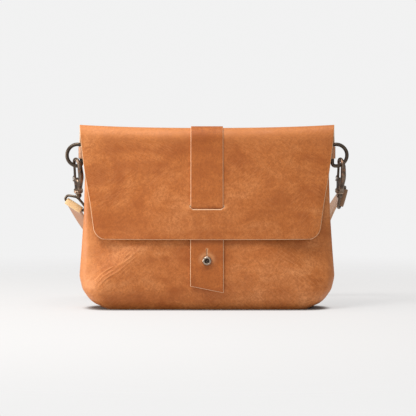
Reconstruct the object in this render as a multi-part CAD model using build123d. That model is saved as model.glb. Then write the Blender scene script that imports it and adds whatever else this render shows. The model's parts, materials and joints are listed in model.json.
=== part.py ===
from build123d import *
import math
import os

# Small flap-over sling bag in thick leather, standing on its base, with a clip-on shoulder strap.
# Millimetres. Origin: centre of the base, on the ground. +Z up, the front faces -Y, +X is the wearer's left.

# ---------------------------------------------------------------- driving dimensions

LEATHER = 1.6
AIR = 0.2  # gap kept between two soft layers that only touch

# Pouch outside: half width and half depth at each height, and half of its lens-shaped plan
POUCH_LEVELS = [
    (0.0, 112.0, 17.0),
    (3.0, 119.5, 22.0),
    (9.0, 127.5, 26.5),
    (20.0, 134.0, 29.5),
    (34.0, 135.8, 30.0),
    (62.0, 133.5, 27.5),
    (100.0, 131.0, 22.0),
    (140.0, 130.0, 15.5),
    (176.0, 130.0, 11.0),
]
POUCH_PLAN = [(136.5, 2.0), (124.0, 13.0), (98.0, 25.0), (70.0, 31.0)]
POUCH_TOP = POUCH_LEVELS[-1][0]
SEAM_STITCH_PITCH = 9.0
THREAD_R = 0.45

# Flap: a sheet sewn to the back, rolled over the top and hanging down the front
FLAP_TOP = 192.6
FLAP_BOTTOM = 73.0
FLAP_HALF_TOP = 137.0
FLAP_HALF_BOTTOM = 119.5
FLAP_CORNER_R = 12.0
FLAP_STAND_OFF = 3.6  # room between pouch and flap, for the closure strap
FLAP_OPEN_GAP = 3.2  # free leather left below the hinge line, so that the flap can turn back
LAP_BOTTOM = 140.0
LAP_HALF_WIDTH = 122.0
LAP_STITCH_PITCH = 6.0

# Closure strap: runs over the flap, through a slot, and ends in a tab with a keyhole
CLOSURE_WIDTH = 34.5
SLOT_Z = 106.7
SLOT_HEIGHT = 6.0
SLOT_CROSSING = 2.5  # the strap changes sides within this height above and below the slot's middle
SLOT_WIDTH = 37.0
CLOSURE_BACK_BOTTOM = 118.0
TAB_TOP = 70.6
TAB_STAND_OFF = 1.0
TAB_LOW_LEFT = 24.0
TAB_LOW_RIGHT = 17.0
KEYHOLE_R = 2.6
KEYHOLE_SLIT = (1.2, 12.0)

# Screw-back stud
STUD_Z = 52.6
STUD_HEAD_R = 5.0
STUD_NECK_R = 2.0
STUD_BASE_R = 5.2
STUD_SCREW_R = 1.3

# D-ring and the leather loop (chape) that holds it in the side seam
RING_WIRE_R = 1.95
RING_BAR_X = 134.0
RING_LOW_Z = 151.95
RING_BOW_R = 11.55
RING_STRAIGHT = 4.0
CHAPE_Z = (159.8, 172.8)
CHAPE_LEATHER = 1.3
CHAPE_INSIDE_X = 117.0

# Trigger snap hook. Local x is towards the gate, local y towards the ring, origin in the ring's wire
HOOK_LEAN = 30.0
HOOK_ARCH_R = (5.0, 8.0)
HOOK_THICK = 3.2
HOOK_BODY_THICK = 5.6
HOOK_THROAT_Y = -18.0
HOOK_COLLAR_Y = (-34.5, -30.5)
HOOK_COLLAR_R = 5.4
HOOK_NOSE_Y = -3.0
GATE_PIVOT = (5.4, -21.5)
GATE_PIN_R = 0.8
GATE_WIDTH = 2.6
GATE_THICK = 2.4
GATE_SLOT = 2.9
RUNNING_FIT = 0.06
HOOK_SIDES = {
    # name: (x of the ring's wire in the hook, z of it, turn of the gate about the hook's own axis)
    "left": (-138.8, 153.0, 238.0),
    "right": (143.3, 153.0, 252.5),
}

# Swivel eye under the hook's collar, and the strap fold on its bar
BALL_R = 3.3
BALL_Y = -38.2
STEM_R = 1.6
STEM_HEAD_R = 2.6
EYE_WIRE_R = 1.4
EYE_BAR = 13.0
EYE_SPAN = (-10.6, 13.2)
EYE_DIRECTIONS = {
    # name: (direction of the bar, direction from the ball to the bar, direction in which the strap leaves)
    "left": ((0.839, 0.0, -0.545), (-0.512, 0.342, -0.788), (-0.065, 0.993, -0.1)),
    "right": ((-0.270, 0.0, -0.963), (0.355, 0.930, -0.100), (0.0, 1.0, 0.0)),
}

# Shoulder strap
STRAP_WIDTH = 19.5
STRAP_THICK = 2.4
FOLD_LENGTH = 26.0
STRAP_GROUND_Z = 11.6  # middle of the strap on its edge, so that the keeper clears the ground
STRAP_HALF_SPAN = 98.0
STRAP_STRAIGHT_Y = (178.0, 245.0)
STRAP_BEND_DEPTH = 100.0
STRAP_OVERLAP_GAP = 0.3
STRAP_HOLE_PITCH = 15.0
STRAP_HOLE_R = 2.1
STRAP_TIP_Y = 177.0
STRAP_STUD_Y = 205.0
KEEPER_Y = 186.0
KEEPER_LENGTH = 9.0
KEEPER_LEATHER = 1.3
KEEPER_FIT = 0.35
RIVET_SHANK_R = 1.6
RIVET_CAP_R = 4.4
RIVET_CAP_H = 1.3

X, Y, Z = Vector(1, 0, 0), Vector(0, 1, 0), Vector(0, 0, 1)

# ---------------------------------------------------------------- shared helpers


def pouch_at(z):
    """Half width and half depth of the pouch's outside at height z."""
    levels = POUCH_LEVELS
    for (z0, a0, b0), (z1, a1, b1) in zip(levels, levels[1:]):
        if z <= z1:
            t = max(0.0, (z - z0) / (z1 - z0))
            return a0 + t * (a1 - a0), b0 + t * (b1 - b0)
    return levels[-1][1], levels[-1][2]


def depth_at(z):
    return pouch_at(z)[1]


def yz_solid(points, x0, x1):
    """A closed outline of (y, z) points, extruded from x0 to x1."""
    outline = Polyline(*[(x0, y, z) for y, z in points], close=True)
    return extrude(make_face(outline), amount=x1 - x0, dir=(1, 0, 0))


def sheet(heights, stand_off, x0, x1, front=True):
    """A leather sheet that follows the pouch's front or back at a stand-off."""
    side = -1 if front else 1
    inner = [(side * (depth_at(z) + stand_off), z) for z in heights]
    outer = [(y + side * LEATHER, z) for y, z in inner]
    return yz_solid(inner + outer[::-1], x0, x1)


def xz_outline_solid(face):
    """Turns a face drawn in x and z into a cutter that runs right through in y."""
    return extrude(Plane.XZ * face, amount=120, both=True)


def round_bar(start, end, radius):
    """A cylinder from one point to another."""
    axis = Vector(*end) - Vector(*start)
    plane = Plane(origin=start, z_dir=axis.normalized())
    return plane * Cylinder(radius, axis.length, align=(Align.CENTER, Align.CENTER, Align.MIN))


def save(node, shape):
    """Writes one node. A group of separate solids stays one compound."""
    solids = shape.solids() if hasattr(shape, "solids") else ShapeList(shape)
    kept = solids[0] if len(solids) == 1 else Compound(children=list(solids))
    kept.label = node
    export_step(kept, f"parts/{node}.step")


# ---------------------------------------------------------------- pouch


def mirrored_outline(half):
    """A closed face from the outline's positive side, listed from the bottom up."""
    return make_face(Polyline(*half, *[(-x, y) for x, y in reversed(half)], close=True))


def pouch_body(inset):
    """The pouch as the common part of its front, side and plan outlines, open-ended at the top."""
    head = POUCH_TOP + 10
    wide = [(a, z) for z, a, _ in POUCH_LEVELS] + [(POUCH_LEVELS[-1][1], head)]
    deep = [(b, z) for z, _, b in POUCH_LEVELS] + [(POUCH_LEVELS[-1][2], head)]
    lens = POUCH_PLAN + [(-x, y) for x, y in reversed(POUCH_PLAN)]
    plan = make_face(Polyline(*lens, *[(-x, -y) for x, y in lens], close=True))
    faces = [mirrored_outline(wide), mirrored_outline(deep), plan]
    if inset:
        faces = [offset(face, -inset, kind=Kind.INTERSECTION) for face in faces]
    from_front = extrude(Plane.XZ * faces[0], 60, both=True)
    from_side = extrude(Plane.YZ * faces[1], 150, both=True)
    from_top = Pos(0, 0, -1) * extrude(faces[2], head + 10)
    return from_front & from_side & from_top


def pouch_panels():
    """Front and back panel: the halves of one open shell, meeting at the side and base seam."""
    below_top = Pos(0, 0, POUCH_TOP / 2) * Box(400, 200, POUCH_TOP)
    shell = (pouch_body(0) & below_top) - pouch_body(LEATHER)
    for side in (-1, 1):
        slot = Box(14, 2 * CHAPE_LEATHER + AIR, CHAPE_Z[1] - CHAPE_Z[0] + AIR)
        shell -= Pos(side * 128, 0, sum(CHAPE_Z) / 2) * slot
    half = Box(400, 100, 400)
    front = shell & (Pos(0, -50, 150) * half)
    back = shell & (Pos(0, 50, 150) * half)
    front -= Pos(0, -depth_at(STUD_Z), STUD_Z) * Rot(90, 0, 0) * Cylinder(STUD_SCREW_R + 0.1, 12)
    return front, back


def seam_thread():
    """Stitches across the side seams, inside the leather where the two panels meet."""
    stitches = []
    z = 24.0
    while z < POUCH_TOP - 6:
        if not CHAPE_Z[0] - 3 < z < CHAPE_Z[1] + 3:
            x = pouch_at(z)[0] - LEATHER / 2
            for side in (-1, 1):
                stitches.append(round_bar((side * x, -1.4, z), (side * x, 1.4, z), THREAD_R))
        z += SEAM_STITCH_PITCH
    return stitches


# ---------------------------------------------------------------- flap and closure


ROLL_BACK_Y = depth_at(POUCH_TOP) + AIR
ROLL_FRONT_Y = -(depth_at(POUCH_TOP) + FLAP_STAND_OFF)
ROLL_R = (ROLL_BACK_Y - ROLL_FRONT_Y) / 2
ROLL_Y = (ROLL_BACK_Y + ROLL_FRONT_Y) / 2
ROLL_Z = FLAP_TOP - LEATHER - ROLL_R
HINGE_Y = ROLL_BACK_Y + LEATHER / 2


def roll(inner_r, x0, x1):
    """A half-round sheet over the top of the pouch, from the hinge line at the back to the front."""
    ring = Cylinder(inner_r + LEATHER, x1 - x0) - Cylinder(inner_r, x1 - x0)
    ring &= Pos(-50, 0, 0) * Box(100, 100, 400)
    return Pos((x0 + x1) / 2, ROLL_Y, ROLL_Z) * Rot(0, 90, 0) * ring


def front_heights(low, high):
    """Heights at which a sheet on the pouch changes slope, between two ends."""
    return [low] + [z for z, _, _ in POUCH_LEVELS if low + 1 < z < high - 1] + [high]


def flap_outline():
    """The flap seen from the front: a trapezium with rounded lower corners."""
    face = make_face(
        Polyline(
            (-FLAP_HALF_TOP, FLAP_TOP + 6),
            (FLAP_HALF_TOP, FLAP_TOP + 6),
            (FLAP_HALF_BOTTOM, FLAP_BOTTOM),
            (-FLAP_HALF_BOTTOM, FLAP_BOTTOM),
            close=True,
        )
    )
    low = face.vertices().sort_by(Axis.Y)[:2]
    return fillet(low, FLAP_CORNER_R)


def flap():
    """The flap sheet with its roll and the slot for the closure strap."""
    body = sheet(front_heights(FLAP_BOTTOM, ROLL_Z), FLAP_STAND_OFF, -FLAP_HALF_TOP, FLAP_HALF_TOP)
    body += roll(ROLL_R, -FLAP_HALF_TOP, FLAP_HALF_TOP)
    body &= xz_outline_solid(flap_outline())
    knuckle = Pos(0, HINGE_Y, ROLL_Z) * Rot(0, 90, 0) * Cylinder(LEATHER / 2, 2 * LAP_HALF_WIDTH)
    body += knuckle
    slot_y = -(depth_at(SLOT_Z) + FLAP_STAND_OFF)
    return body - Pos(0, slot_y, SLOT_Z) * Box(SLOT_WIDTH, 12, SLOT_HEIGHT)


def flap_lap():
    """The part of the flap that is sewn down on the back."""
    heights = front_heights(LAP_BOTTOM, ROLL_Z - FLAP_OPEN_GAP)
    return sheet(heights, AIR, -LAP_HALF_WIDTH, LAP_HALF_WIDTH, front=False)


def lap_thread():
    """The line of stitches along the lower edge of the lap."""
    z = LAP_BOTTOM + 5
    y = depth_at(z) + AIR + LEATHER + THREAD_R + 0.05
    stitches = []
    count = int(2 * (LAP_HALF_WIDTH - 6) / LAP_STITCH_PITCH)
    for k in range(count + 1):
        x = -LAP_HALF_WIDTH + 6 + k * LAP_STITCH_PITCH
        if abs(x) > CLOSURE_WIDTH / 2 + LAP_STITCH_PITCH / 2:
            ends = ((x - 2.1, y, z), (x + 2.1, y, z))
            stitches.append(round_bar(*ends, THREAD_R))
    return stitches


def closure_strap():
    """The strap over the flap: back hinge line, roll, front run, then through the slot to the flap's edge."""
    half = CLOSURE_WIDTH / 2
    over = FLAP_STAND_OFF + LEATHER + AIR
    under = TAB_STAND_OFF
    high, low = SLOT_Z + SLOT_CROSSING, SLOT_Z - SLOT_CROSSING
    top_run = sheet(front_heights(high, ROLL_Z), over, -half, half)
    low_run = sheet(front_heights(FLAP_BOTTOM - 1.2, low), under, -half, half)
    y_out, y_in = -(depth_at(high) + over), -(depth_at(low) + under)
    step = [
        (y_out, high),
        (y_out - LEATHER, high),
        (y_out - LEATHER, high - 0.8),
        (y_in - LEATHER, low),
        (y_in, low),
        (y_in, low + 0.8),
    ]
    body = top_run + low_run + yz_solid(step, -half, half)
    return body + roll(ROLL_R + LEATHER + AIR, -half, half)


def closure_back():
    """The closure strap's end, sewn on the back over the lap."""
    half = CLOSURE_WIDTH / 2
    heights = front_heights(CLOSURE_BACK_BOTTOM, ROLL_Z - FLAP_OPEN_GAP)
    return sheet(heights, 2 * AIR + LEATHER, -half, half, front=False)


def closure_thread():
    """A box of stitches that holds the closure strap's end on the back."""
    stitches = []
    half = CLOSURE_WIDTH / 2 - 4
    for row_z in (CLOSURE_BACK_BOTTOM + 5, CLOSURE_BACK_BOTTOM + 17):
        y = depth_at(row_z) + 2 * AIR + 2 * LEATHER + THREAD_R + 0.05
        count = int(2 * half / 5)
        for k in range(count + 1):
            x = -half + k * 2 * half / count
            stitches.append(round_bar((x - 1.7, y, row_z), (x + 1.7, y, row_z), THREAD_R))
    return stitches


def closure_tab():
    """The strap's end below the flap, cut at a slant, with a keyhole for the stud."""
    half = CLOSURE_WIDTH / 2
    body = sheet(front_heights(TAB_LOW_RIGHT - 1, TAB_TOP), TAB_STAND_OFF, -half, half)
    keep = make_face(
        Polyline(
            (-half, TAB_TOP + 1),
            (half, TAB_TOP + 1),
            (half, TAB_LOW_RIGHT),
            (-half, TAB_LOW_LEFT),
            close=True,
        )
    )
    body &= xz_outline_solid(keep)
    slit_w, slit_h = KEYHOLE_SLIT
    y = -depth_at(STUD_Z)
    body -= Pos(0, y, STUD_Z) * Rot(90, 0, 0) * Cylinder(KEYHOLE_R, 20)
    return body - Pos(0, y, STUD_Z + slit_h / 2) * Box(slit_w, 20, slit_h)


def stud():
    """Turned stud: base flange on the pouch, waist in the keyhole, ball head."""
    y0 = 0.34
    profile = make_face(
        Polyline(
            (STUD_SCREW_R, y0),
            (3.0, y0),
            (3.0, y0 + 0.1),
            (STUD_NECK_R, y0 + 0.25),
            (STUD_NECK_R, 3.2),
            (STUD_HEAD_R - 0.8, 3.4),
            (STUD_HEAD_R, 4.0),
            (STUD_HEAD_R, 4.6),
            (STUD_HEAD_R - 1.0, 5.7),
            (2.2, 6.4),
            (0, 6.6),
            (0, 5.0),
            (STUD_SCREW_R, 4.2),
            close=True,
        )
    )
    turned = revolve(profile, Axis.Y)
    return Pos(0, -depth_at(STUD_Z), STUD_Z) * Rot(180, 0, 0) * turned


def stud_screw():
    """The screw inside the pouch that holds the stud."""
    inner = -depth_at(STUD_Z) + LEATHER + 0.6
    head = round_bar((0, inner, STUD_Z), (0, inner + 1.2, STUD_Z), STUD_BASE_R)
    head -= Pos(0, inner + 1.2, STUD_Z) * Box(7.0, 1.0, 1.0)
    shank = round_bar((0, inner, STUD_Z), (0, inner - 5.4, STUD_Z), STUD_SCREW_R - 0.05)
    return head + shank


# ---------------------------------------------------------------- D-rings and chapes


def d_ring(side):
    """A wire D: straight bar in the chape, bow outwards."""
    z0, z1 = RING_LOW_Z, RING_LOW_Z + 2 * RING_BOW_R
    x0, x1 = RING_BAR_X, RING_BAR_X + RING_STRAIGHT
    ring = round_bar((x0, 0, z0), (x0, 0, z1), RING_WIRE_R)
    for z in (z0, z1):
        ring += Pos(x0, 0, z) * Sphere(RING_WIRE_R)
        ring += round_bar((x0, 0, z), (x1, 0, z), RING_WIRE_R)
    bow = Rot(90, 0, 0) * Torus(RING_BOW_R, RING_WIRE_R)
    bow &= Pos(50, 0, 0) * Box(100, 100, 100)
    ring += Pos(x1, 0, (z0 + z1) / 2) * bow
    return ring if side > 0 else mirror(ring, Plane.YZ)


def chape(side):
    """A leather loop round the ring's bar, with both ends caught in the side seam."""
    hole = RING_WIRE_R + 0.08
    outline = Circle(hole + CHAPE_LEATHER)
    tail = RING_BAR_X - CHAPE_INSIDE_X
    outline += Pos(-tail / 2, 0) * Rectangle(tail, 2 * CHAPE_LEATHER)
    outline -= Circle(hole)
    height = CHAPE_Z[1] - CHAPE_Z[0]
    body = Pos(RING_BAR_X, 0, CHAPE_Z[0]) * extrude(outline, height)
    return body if side > 0 else mirror(body, Plane.YZ)


# ---------------------------------------------------------------- snap hooks


def hook_plane(name):
    """The hook's own frame: x to the gate, y to the ring, z across its thickness."""
    x, z, turn = HOOK_SIDES[name]
    lean = math.radians(HOOK_LEAN)
    down = Vector(0, math.sin(lean), -math.cos(lean))
    across = down.cross(X)
    angle = math.radians(turn)
    gate_way = X * math.cos(angle) + across * math.sin(angle)
    up = down * -1
    return Plane(origin=(x, 0, z), x_dir=gate_way, z_dir=gate_way.cross(up))


def centred(face, thickness):
    return extrude(face, thickness / 2, both=True)


def hook_body(name):
    """Arch, spine, slotted housing and collar of the snap hook."""
    inner, outer = HOOK_ARCH_R
    arch = Circle(outer) - Circle(inner)
    arch &= Pos(0, outer) * Rectangle(4 * outer, 2 * outer)
    nose = Pos((inner + outer) / 2, HOOK_NOSE_Y / 2) * Rectangle(outer - inner, -HOOK_NOSE_Y)
    spine_length = -HOOK_THROAT_Y + 4
    spine = Pos(-(inner + outer) / 2, -spine_length / 2) * Rectangle(outer - inner, spine_length)
    frame = centred(arch + nose + spine, HOOK_THICK)
    housing = make_face(
        Polyline(
            (-outer, HOOK_THROAT_Y),
            (outer - 0.6, HOOK_THROAT_Y),
            (outer - 1.2, HOOK_THROAT_Y - 5),
            (HOOK_COLLAR_R - 0.6, HOOK_COLLAR_Y[1]),
            (-HOOK_COLLAR_R + 0.6, HOOK_COLLAR_Y[1]),
            (-outer + 1.0, HOOK_THROAT_Y - 5),
            close=True,
        )
    )
    body = frame + centred(housing, HOOK_BODY_THICK)
    body += round_bar((0, HOOK_COLLAR_Y[1], 0), (0, HOOK_COLLAR_Y[0], 0), HOOK_COLLAR_R)
    slot = make_face(
        Polyline(
            (0.5, HOOK_THROAT_Y + 1),
            (12, HOOK_THROAT_Y + 1),
            (12, HOOK_THROAT_Y - 7.6),
            (2.6, HOOK_THROAT_Y - 7.6),
            close=True,
        )
    )
    body -= centred(slot, GATE_SLOT)
    px, py = GATE_PIVOT
    body -= Pos(px, py, 0) * Cylinder(GATE_PIN_R, 20)
    bore = STEM_R + RUNNING_FIT
    body -= round_bar((0, HOOK_COLLAR_Y[0] - 1, 0), (0, -30.5, 0), bore)
    body -= round_bar((0, -30.7, 0), (0, -27.4, 0), STEM_HEAD_R + 0.2)
    return hook_plane(name) * body


def gate(name):
    """The sprung gate with its thumb lug."""
    px, py = GATE_PIVOT
    inner, outer = HOOK_ARCH_R
    tip_y = HOOK_NOSE_Y - 0.25
    bar = make_face(
        Polyline(
            (outer - GATE_WIDTH, tip_y),
            (outer - 0.2, tip_y),
            (outer - 0.2, py + 3.2),
            (outer + 1.4, py + 1.2),
            (outer + 1.8, py - 1.6),
            (outer - 0.8, py - 2.6),
            (px - 1.6, py - 1.8),
            (px - 1.6, py + 1.6),
            close=True,
        )
    )
    body = centred(bar, GATE_THICK)
    body -= Pos(px, py, 0) * Cylinder(GATE_PIN_R + RUNNING_FIT, 20)
    return hook_plane(name) * body


def gate_pin(name):
    px, py = GATE_PIVOT
    return hook_plane(name) * Pos(px, py, 0) * Cylinder(GATE_PIN_R, HOOK_BODY_THICK)


def gate_spring(name):
    """A bent leaf spring between the housing and the gate's inner side."""
    leaf = make_face(
        Polyline(
            (1.7, HOOK_THROAT_Y - 0.6),
            (2.1, HOOK_THROAT_Y - 0.6),
            (3.3, HOOK_THROAT_Y - 6.6),
            (5.6, HOOK_THROAT_Y - 7.0),
            (5.6, HOOK_THROAT_Y - 7.4),
            (3.0, HOOK_THROAT_Y - 7.1),
            close=True,
        )
    )
    return hook_plane(name) * centred(leaf, 1.8)


# ---------------------------------------------------------------- swivel eyes and strap ends


def local_point(name, x, y, z=0.0):
    """A point given in the hook's frame, in the bag's frame."""
    plane = hook_plane(name)
    return plane.origin + plane.x_dir * x + plane.y_dir * y + plane.z_dir * z


def eye_plane(name):
    """The eye's frame: x along the bar, y from the ball to the bar."""
    along, out, _ = EYE_DIRECTIONS[name]
    along, out = Vector(*along).normalized(), Vector(*out)
    out = (out - along * out.dot(along)).normalized()
    return Plane(origin=local_point(name, 0, BALL_Y), x_dir=along, z_dir=along.cross(out))


def swivel_eye(name):
    """Stem with a head inside the hook, ball under the collar, and the wire loop for the strap."""
    lo, hi = EYE_SPAN
    corners = [(-1.5, 3.0), (lo, 7.0), (lo, EYE_BAR), (hi, EYE_BAR), (hi, 7.0), (1.5, 3.0)]
    loop = Sphere(EYE_WIRE_R).translate(Vector(corners[0][0], corners[0][1], 0))
    for (x0, y0), (x1, y1) in zip(corners, corners[1:] + corners[:1]):
        loop += round_bar((x0, y0, 0), (x1, y1, 0), EYE_WIRE_R)
        loop += Pos(x1, y1, 0) * Sphere(EYE_WIRE_R)
    eye = eye_plane(name) * (loop + Sphere(BALL_R))
    stem = round_bar((0, BALL_Y, 0), (0, -29.0, 0), STEM_R)
    stem += round_bar((0, -30.2, 0), (0, -27.8, 0), STEM_HEAD_R)
    return eye + hook_plane(name) * stem


def fold_plane(name):
    """The fold's frame: origin mid strap on the bar, x along the bar, y the way the strap leaves."""
    base = eye_plane(name)
    middle = (EYE_SPAN[0] + EYE_SPAN[1]) / 2
    origin = base.origin + base.x_dir * middle + base.y_dir * EYE_BAR
    leave = Vector(*EYE_DIRECTIONS[name][2])
    leave = (leave - base.x_dir * leave.dot(base.x_dir)).normalized()
    return Plane(origin=origin, x_dir=base.x_dir, z_dir=base.x_dir.cross(leave))


def fold_profile():
    """The fold across the bar: drawn in the plane of strap direction and thickness."""
    inner = EYE_WIRE_R + 0.15
    face = Circle(inner + STRAP_THICK) + Pos(FOLD_LENGTH / 2, 0) * Rectangle(FOLD_LENGTH, 2 * STRAP_THICK)
    return face - Circle(inner)


def strap_fold(name):
    """The strap's end turned round the eye's bar, both layers, with the rivet's hole."""
    plane = fold_plane(name)
    across = Plane(origin=plane.origin, x_dir=plane.y_dir, z_dir=plane.x_dir)
    body = across * extrude(fold_profile(), STRAP_WIDTH / 2, both=True)
    return body - plane * Pos(0, rivet_place(), 0) * Cylinder(RIVET_SHANK_R + 0.02, 20)


def rivet_place():
    return 10.0


def strap_rivet(name):
    """Double-cap rivet through both layers of the fold."""
    body = Cylinder(RIVET_SHANK_R, 2 * STRAP_THICK)
    for side in (-1, 1):
        cap = Cylinder(RIVET_CAP_R, RIVET_CAP_H)
        edge = cap.edges().sort_by(Axis.Z)[-1 if side > 0 else 0]
        cap = fillet(edge, 0.9)
        body += Pos(0, 0, side * (STRAP_THICK + RIVET_CAP_H / 2 + 0.02)) * cap
        body += Pos(0, 0, side * STRAP_THICK) * Cylinder(RIVET_SHANK_R, 0.2)
    return fold_plane(name) * Pos(0, rivet_place(), 0) * body


# ---------------------------------------------------------------- shoulder strap


def strap_station(centre, along, width_way):
    """One rectangular section of the strap."""
    along = Vector(*along).normalized()
    width_way = Vector(*width_way)
    width_way = (width_way - along * width_way.dot(along)).normalized()
    plane = Plane(origin=centre, x_dir=width_way, z_dir=along)
    return plane * Rectangle(STRAP_WIDTH, STRAP_THICK)


def ribbon(stations):
    """A strap through (centre, width direction) stations, straight between them."""
    sections = []
    for k, (centre, width_way) in enumerate(stations):
        before = stations[max(k - 1, 0)][0]
        after = stations[min(k + 1, len(stations) - 1)][0]
        along = Vector(*after) - Vector(*before)
        sections.append(strap_station(centre, along, width_way))
    return loft(sections, ruled=True)


def descent(name, ground_x, ground_y, steps=9):
    """Stations from the fold down to the ground, turning the strap on to its edge."""
    plane = fold_plane(name)
    start = plane.origin + plane.y_dir * (FOLD_LENGTH - 2)
    end = Vector(ground_x, ground_y, STRAP_GROUND_Z)
    reach = (end - start).length
    lead, land = plane.y_dir * (0.38 * reach), Vector(0, -0.42 * reach, 0)
    stations = []
    for k in range(steps + 1):
        t = k / steps
        a, b, c, d = (1 - t) ** 3, 3 * t * (1 - t) ** 2, 3 * t * t * (1 - t), t**3
        centre = start * a + (start + lead) * b + (end + land) * c + end * d
        turn = t * t * (3 - 2 * t)
        width_way = plane.x_dir * (1 - turn) + Vector(0, 0, -1) * turn
        stations.append((centre, width_way))
    return stations


def bend_station(angle):
    """A point of the rear bend; 0 is the right end, 180 the left end."""
    x = STRAP_HALF_SPAN * math.cos(math.radians(angle))
    y = STRAP_STRAIGHT_Y[1] + STRAP_BEND_DEPTH * math.sin(math.radians(angle))
    return Vector(x, y, STRAP_GROUND_Z), Vector(0, 0, -1)


OVERLAP_X = STRAP_HALF_SPAN + STRAP_THICK + STRAP_OVERLAP_GAP


def strap_long():
    """From the left hook round the rear bend to the overlap beside the short strap, with size holes."""
    down = Vector(0, 0, -1)
    stations = descent("left", -STRAP_HALF_SPAN, STRAP_STRAIGHT_Y[0])
    stations += [bend_station(a) for a in range(180, 4, -12)]
    y_turn = STRAP_STRAIGHT_Y[1]
    blend_x = (STRAP_HALF_SPAN, OVERLAP_X)
    stations.append((Vector(blend_x[0] + 0.6, y_turn + 4, STRAP_GROUND_Z), down))
    stations.append((Vector(blend_x[1], y_turn - 12, STRAP_GROUND_Z), down))
    stations.append((Vector(blend_x[1], STRAP_TIP_Y, STRAP_GROUND_Z), down))
    body = ribbon(stations) + strap_fold("left")
    for k in range(4):
        y = STRAP_STUD_Y - STRAP_HOLE_PITCH + k * STRAP_HOLE_PITCH
        if y > KEEPER_Y + KEEPER_LENGTH:
            body -= Pos(OVERLAP_X, y, STRAP_GROUND_Z) * Rot(0, 90, 0) * Cylinder(STRAP_HOLE_R, 6)
    return body


def strap_short():
    """From the right hook down to the ground and along to the stud."""
    down = Vector(0, 0, -1)
    stations = descent("right", STRAP_HALF_SPAN, STRAP_STRAIGHT_Y[0])
    stations.append((Vector(STRAP_HALF_SPAN, STRAP_STRAIGHT_Y[1] - 26, STRAP_GROUND_Z), down))
    body = ribbon(stations) + strap_fold("right")
    hole = Rot(0, 90, 0) * Cylinder(STUD_SCREW_R + 0.1, 6)
    return body - Pos(STRAP_HALF_SPAN, STRAP_STUD_Y, STRAP_GROUND_Z) * hole


def strap_stud():
    """Small ball stud that fixes the strap's length."""
    profile = make_face(
        Polyline(
            (0, -STRAP_THICK - 1.1),
            (4.2, -STRAP_THICK - 1.1),
            (4.2, -STRAP_THICK - 0.1),
            (STUD_SCREW_R, -STRAP_THICK - 0.1),
            (STUD_SCREW_R, 0.1),
            (2.0, 0.1),
            (2.0, 3.2),
            (3.6, 3.4),
            (3.9, 4.4),
            (3.2, 5.6),
            (1.6, 6.3),
            (0, 6.4),
            close=True,
        )
    )
    outside = STRAP_HALF_SPAN + STRAP_THICK / 2
    return Pos(outside, STRAP_STUD_Y, STRAP_GROUND_Z) * Rot(0, 0, -90) * revolve(profile, Axis.Y)


def strap_keeper():
    """A leather loop that holds the strap's tip down."""
    thick = 2 * STRAP_THICK + STRAP_OVERLAP_GAP + 2 * KEEPER_FIT
    tall = STRAP_WIDTH + 2 * KEEPER_FIT
    middle = STRAP_HALF_SPAN + (STRAP_THICK + STRAP_OVERLAP_GAP) / 2
    outer = Rectangle(thick + 2 * KEEPER_LEATHER, tall + 2 * KEEPER_LEATHER)
    ring = outer - Rectangle(thick, tall)
    lift = Pos(middle, KEEPER_Y, STRAP_GROUND_Z)
    return lift * Rot(90, 0, 0) * extrude(ring, KEEPER_LENGTH / 2, both=True)


# ---------------------------------------------------------------- write every node


def main():
    os.makedirs("parts", exist_ok=True)
    front, back = pouch_panels()
    save("front_panel", front)
    save("back_panel", back)
    save("seam_thread", Compound(children=seam_thread()))
    save("flap", flap())
    save("flap_lap", flap_lap())
    save("lap_thread", Compound(children=lap_thread()))
    save("closure_strap", closure_strap())
    save("closure_back", closure_back())
    save("closure_thread", Compound(children=closure_thread()))
    save("closure_tab", closure_tab())
    save("stud", stud())
    save("stud_screw", stud_screw())
    for name, side in (("left", -1), ("right", 1)):
        save(f"d_ring_{name}", d_ring(side))
        save(f"chape_{name}", chape(side))
        save(f"hook_{name}", hook_body(name))
        save(f"gate_{name}", gate(name))
        save(f"gate_pin_{name}", gate_pin(name))
        save(f"gate_spring_{name}", gate_spring(name))
        save(f"swivel_eye_{name}", swivel_eye(name))
        save(f"strap_rivet_{name}", strap_rivet(name))
    save("strap_long", strap_long())
    save("strap_short", strap_short())
    save("strap_stud", strap_stud())
    save("strap_keeper", strap_keeper())


main()
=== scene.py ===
"""Looks of a small tan leather sling bag, built on its CAD frame. Metres, +Z up, the front faces -Y."""

import json
import math

import bmesh
import bpy
import numpy as np
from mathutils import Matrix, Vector
from mathutils.kdtree import KDTree


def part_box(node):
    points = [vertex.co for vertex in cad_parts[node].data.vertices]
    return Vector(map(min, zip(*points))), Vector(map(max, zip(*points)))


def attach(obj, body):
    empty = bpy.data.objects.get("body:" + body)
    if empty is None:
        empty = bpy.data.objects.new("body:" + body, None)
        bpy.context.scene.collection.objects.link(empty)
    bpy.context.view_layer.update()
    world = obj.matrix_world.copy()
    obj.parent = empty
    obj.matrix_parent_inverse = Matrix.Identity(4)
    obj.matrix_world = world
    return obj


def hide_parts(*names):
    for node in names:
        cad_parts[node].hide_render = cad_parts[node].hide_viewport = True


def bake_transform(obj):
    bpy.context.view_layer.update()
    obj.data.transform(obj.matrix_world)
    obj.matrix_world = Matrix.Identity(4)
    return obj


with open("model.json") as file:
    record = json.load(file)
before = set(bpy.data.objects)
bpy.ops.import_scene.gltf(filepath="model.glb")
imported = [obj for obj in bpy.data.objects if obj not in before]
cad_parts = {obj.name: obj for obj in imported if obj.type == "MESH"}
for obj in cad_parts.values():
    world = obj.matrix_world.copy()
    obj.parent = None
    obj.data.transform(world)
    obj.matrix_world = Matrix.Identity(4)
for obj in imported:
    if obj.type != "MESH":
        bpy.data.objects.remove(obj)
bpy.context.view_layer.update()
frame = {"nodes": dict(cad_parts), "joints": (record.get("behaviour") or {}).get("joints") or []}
nodes = frame["nodes"]
joints = {j["name"]: j for j in frame["joints"]}
MM = 0.001

# ---- sizes, from the frame where it has them

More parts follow.
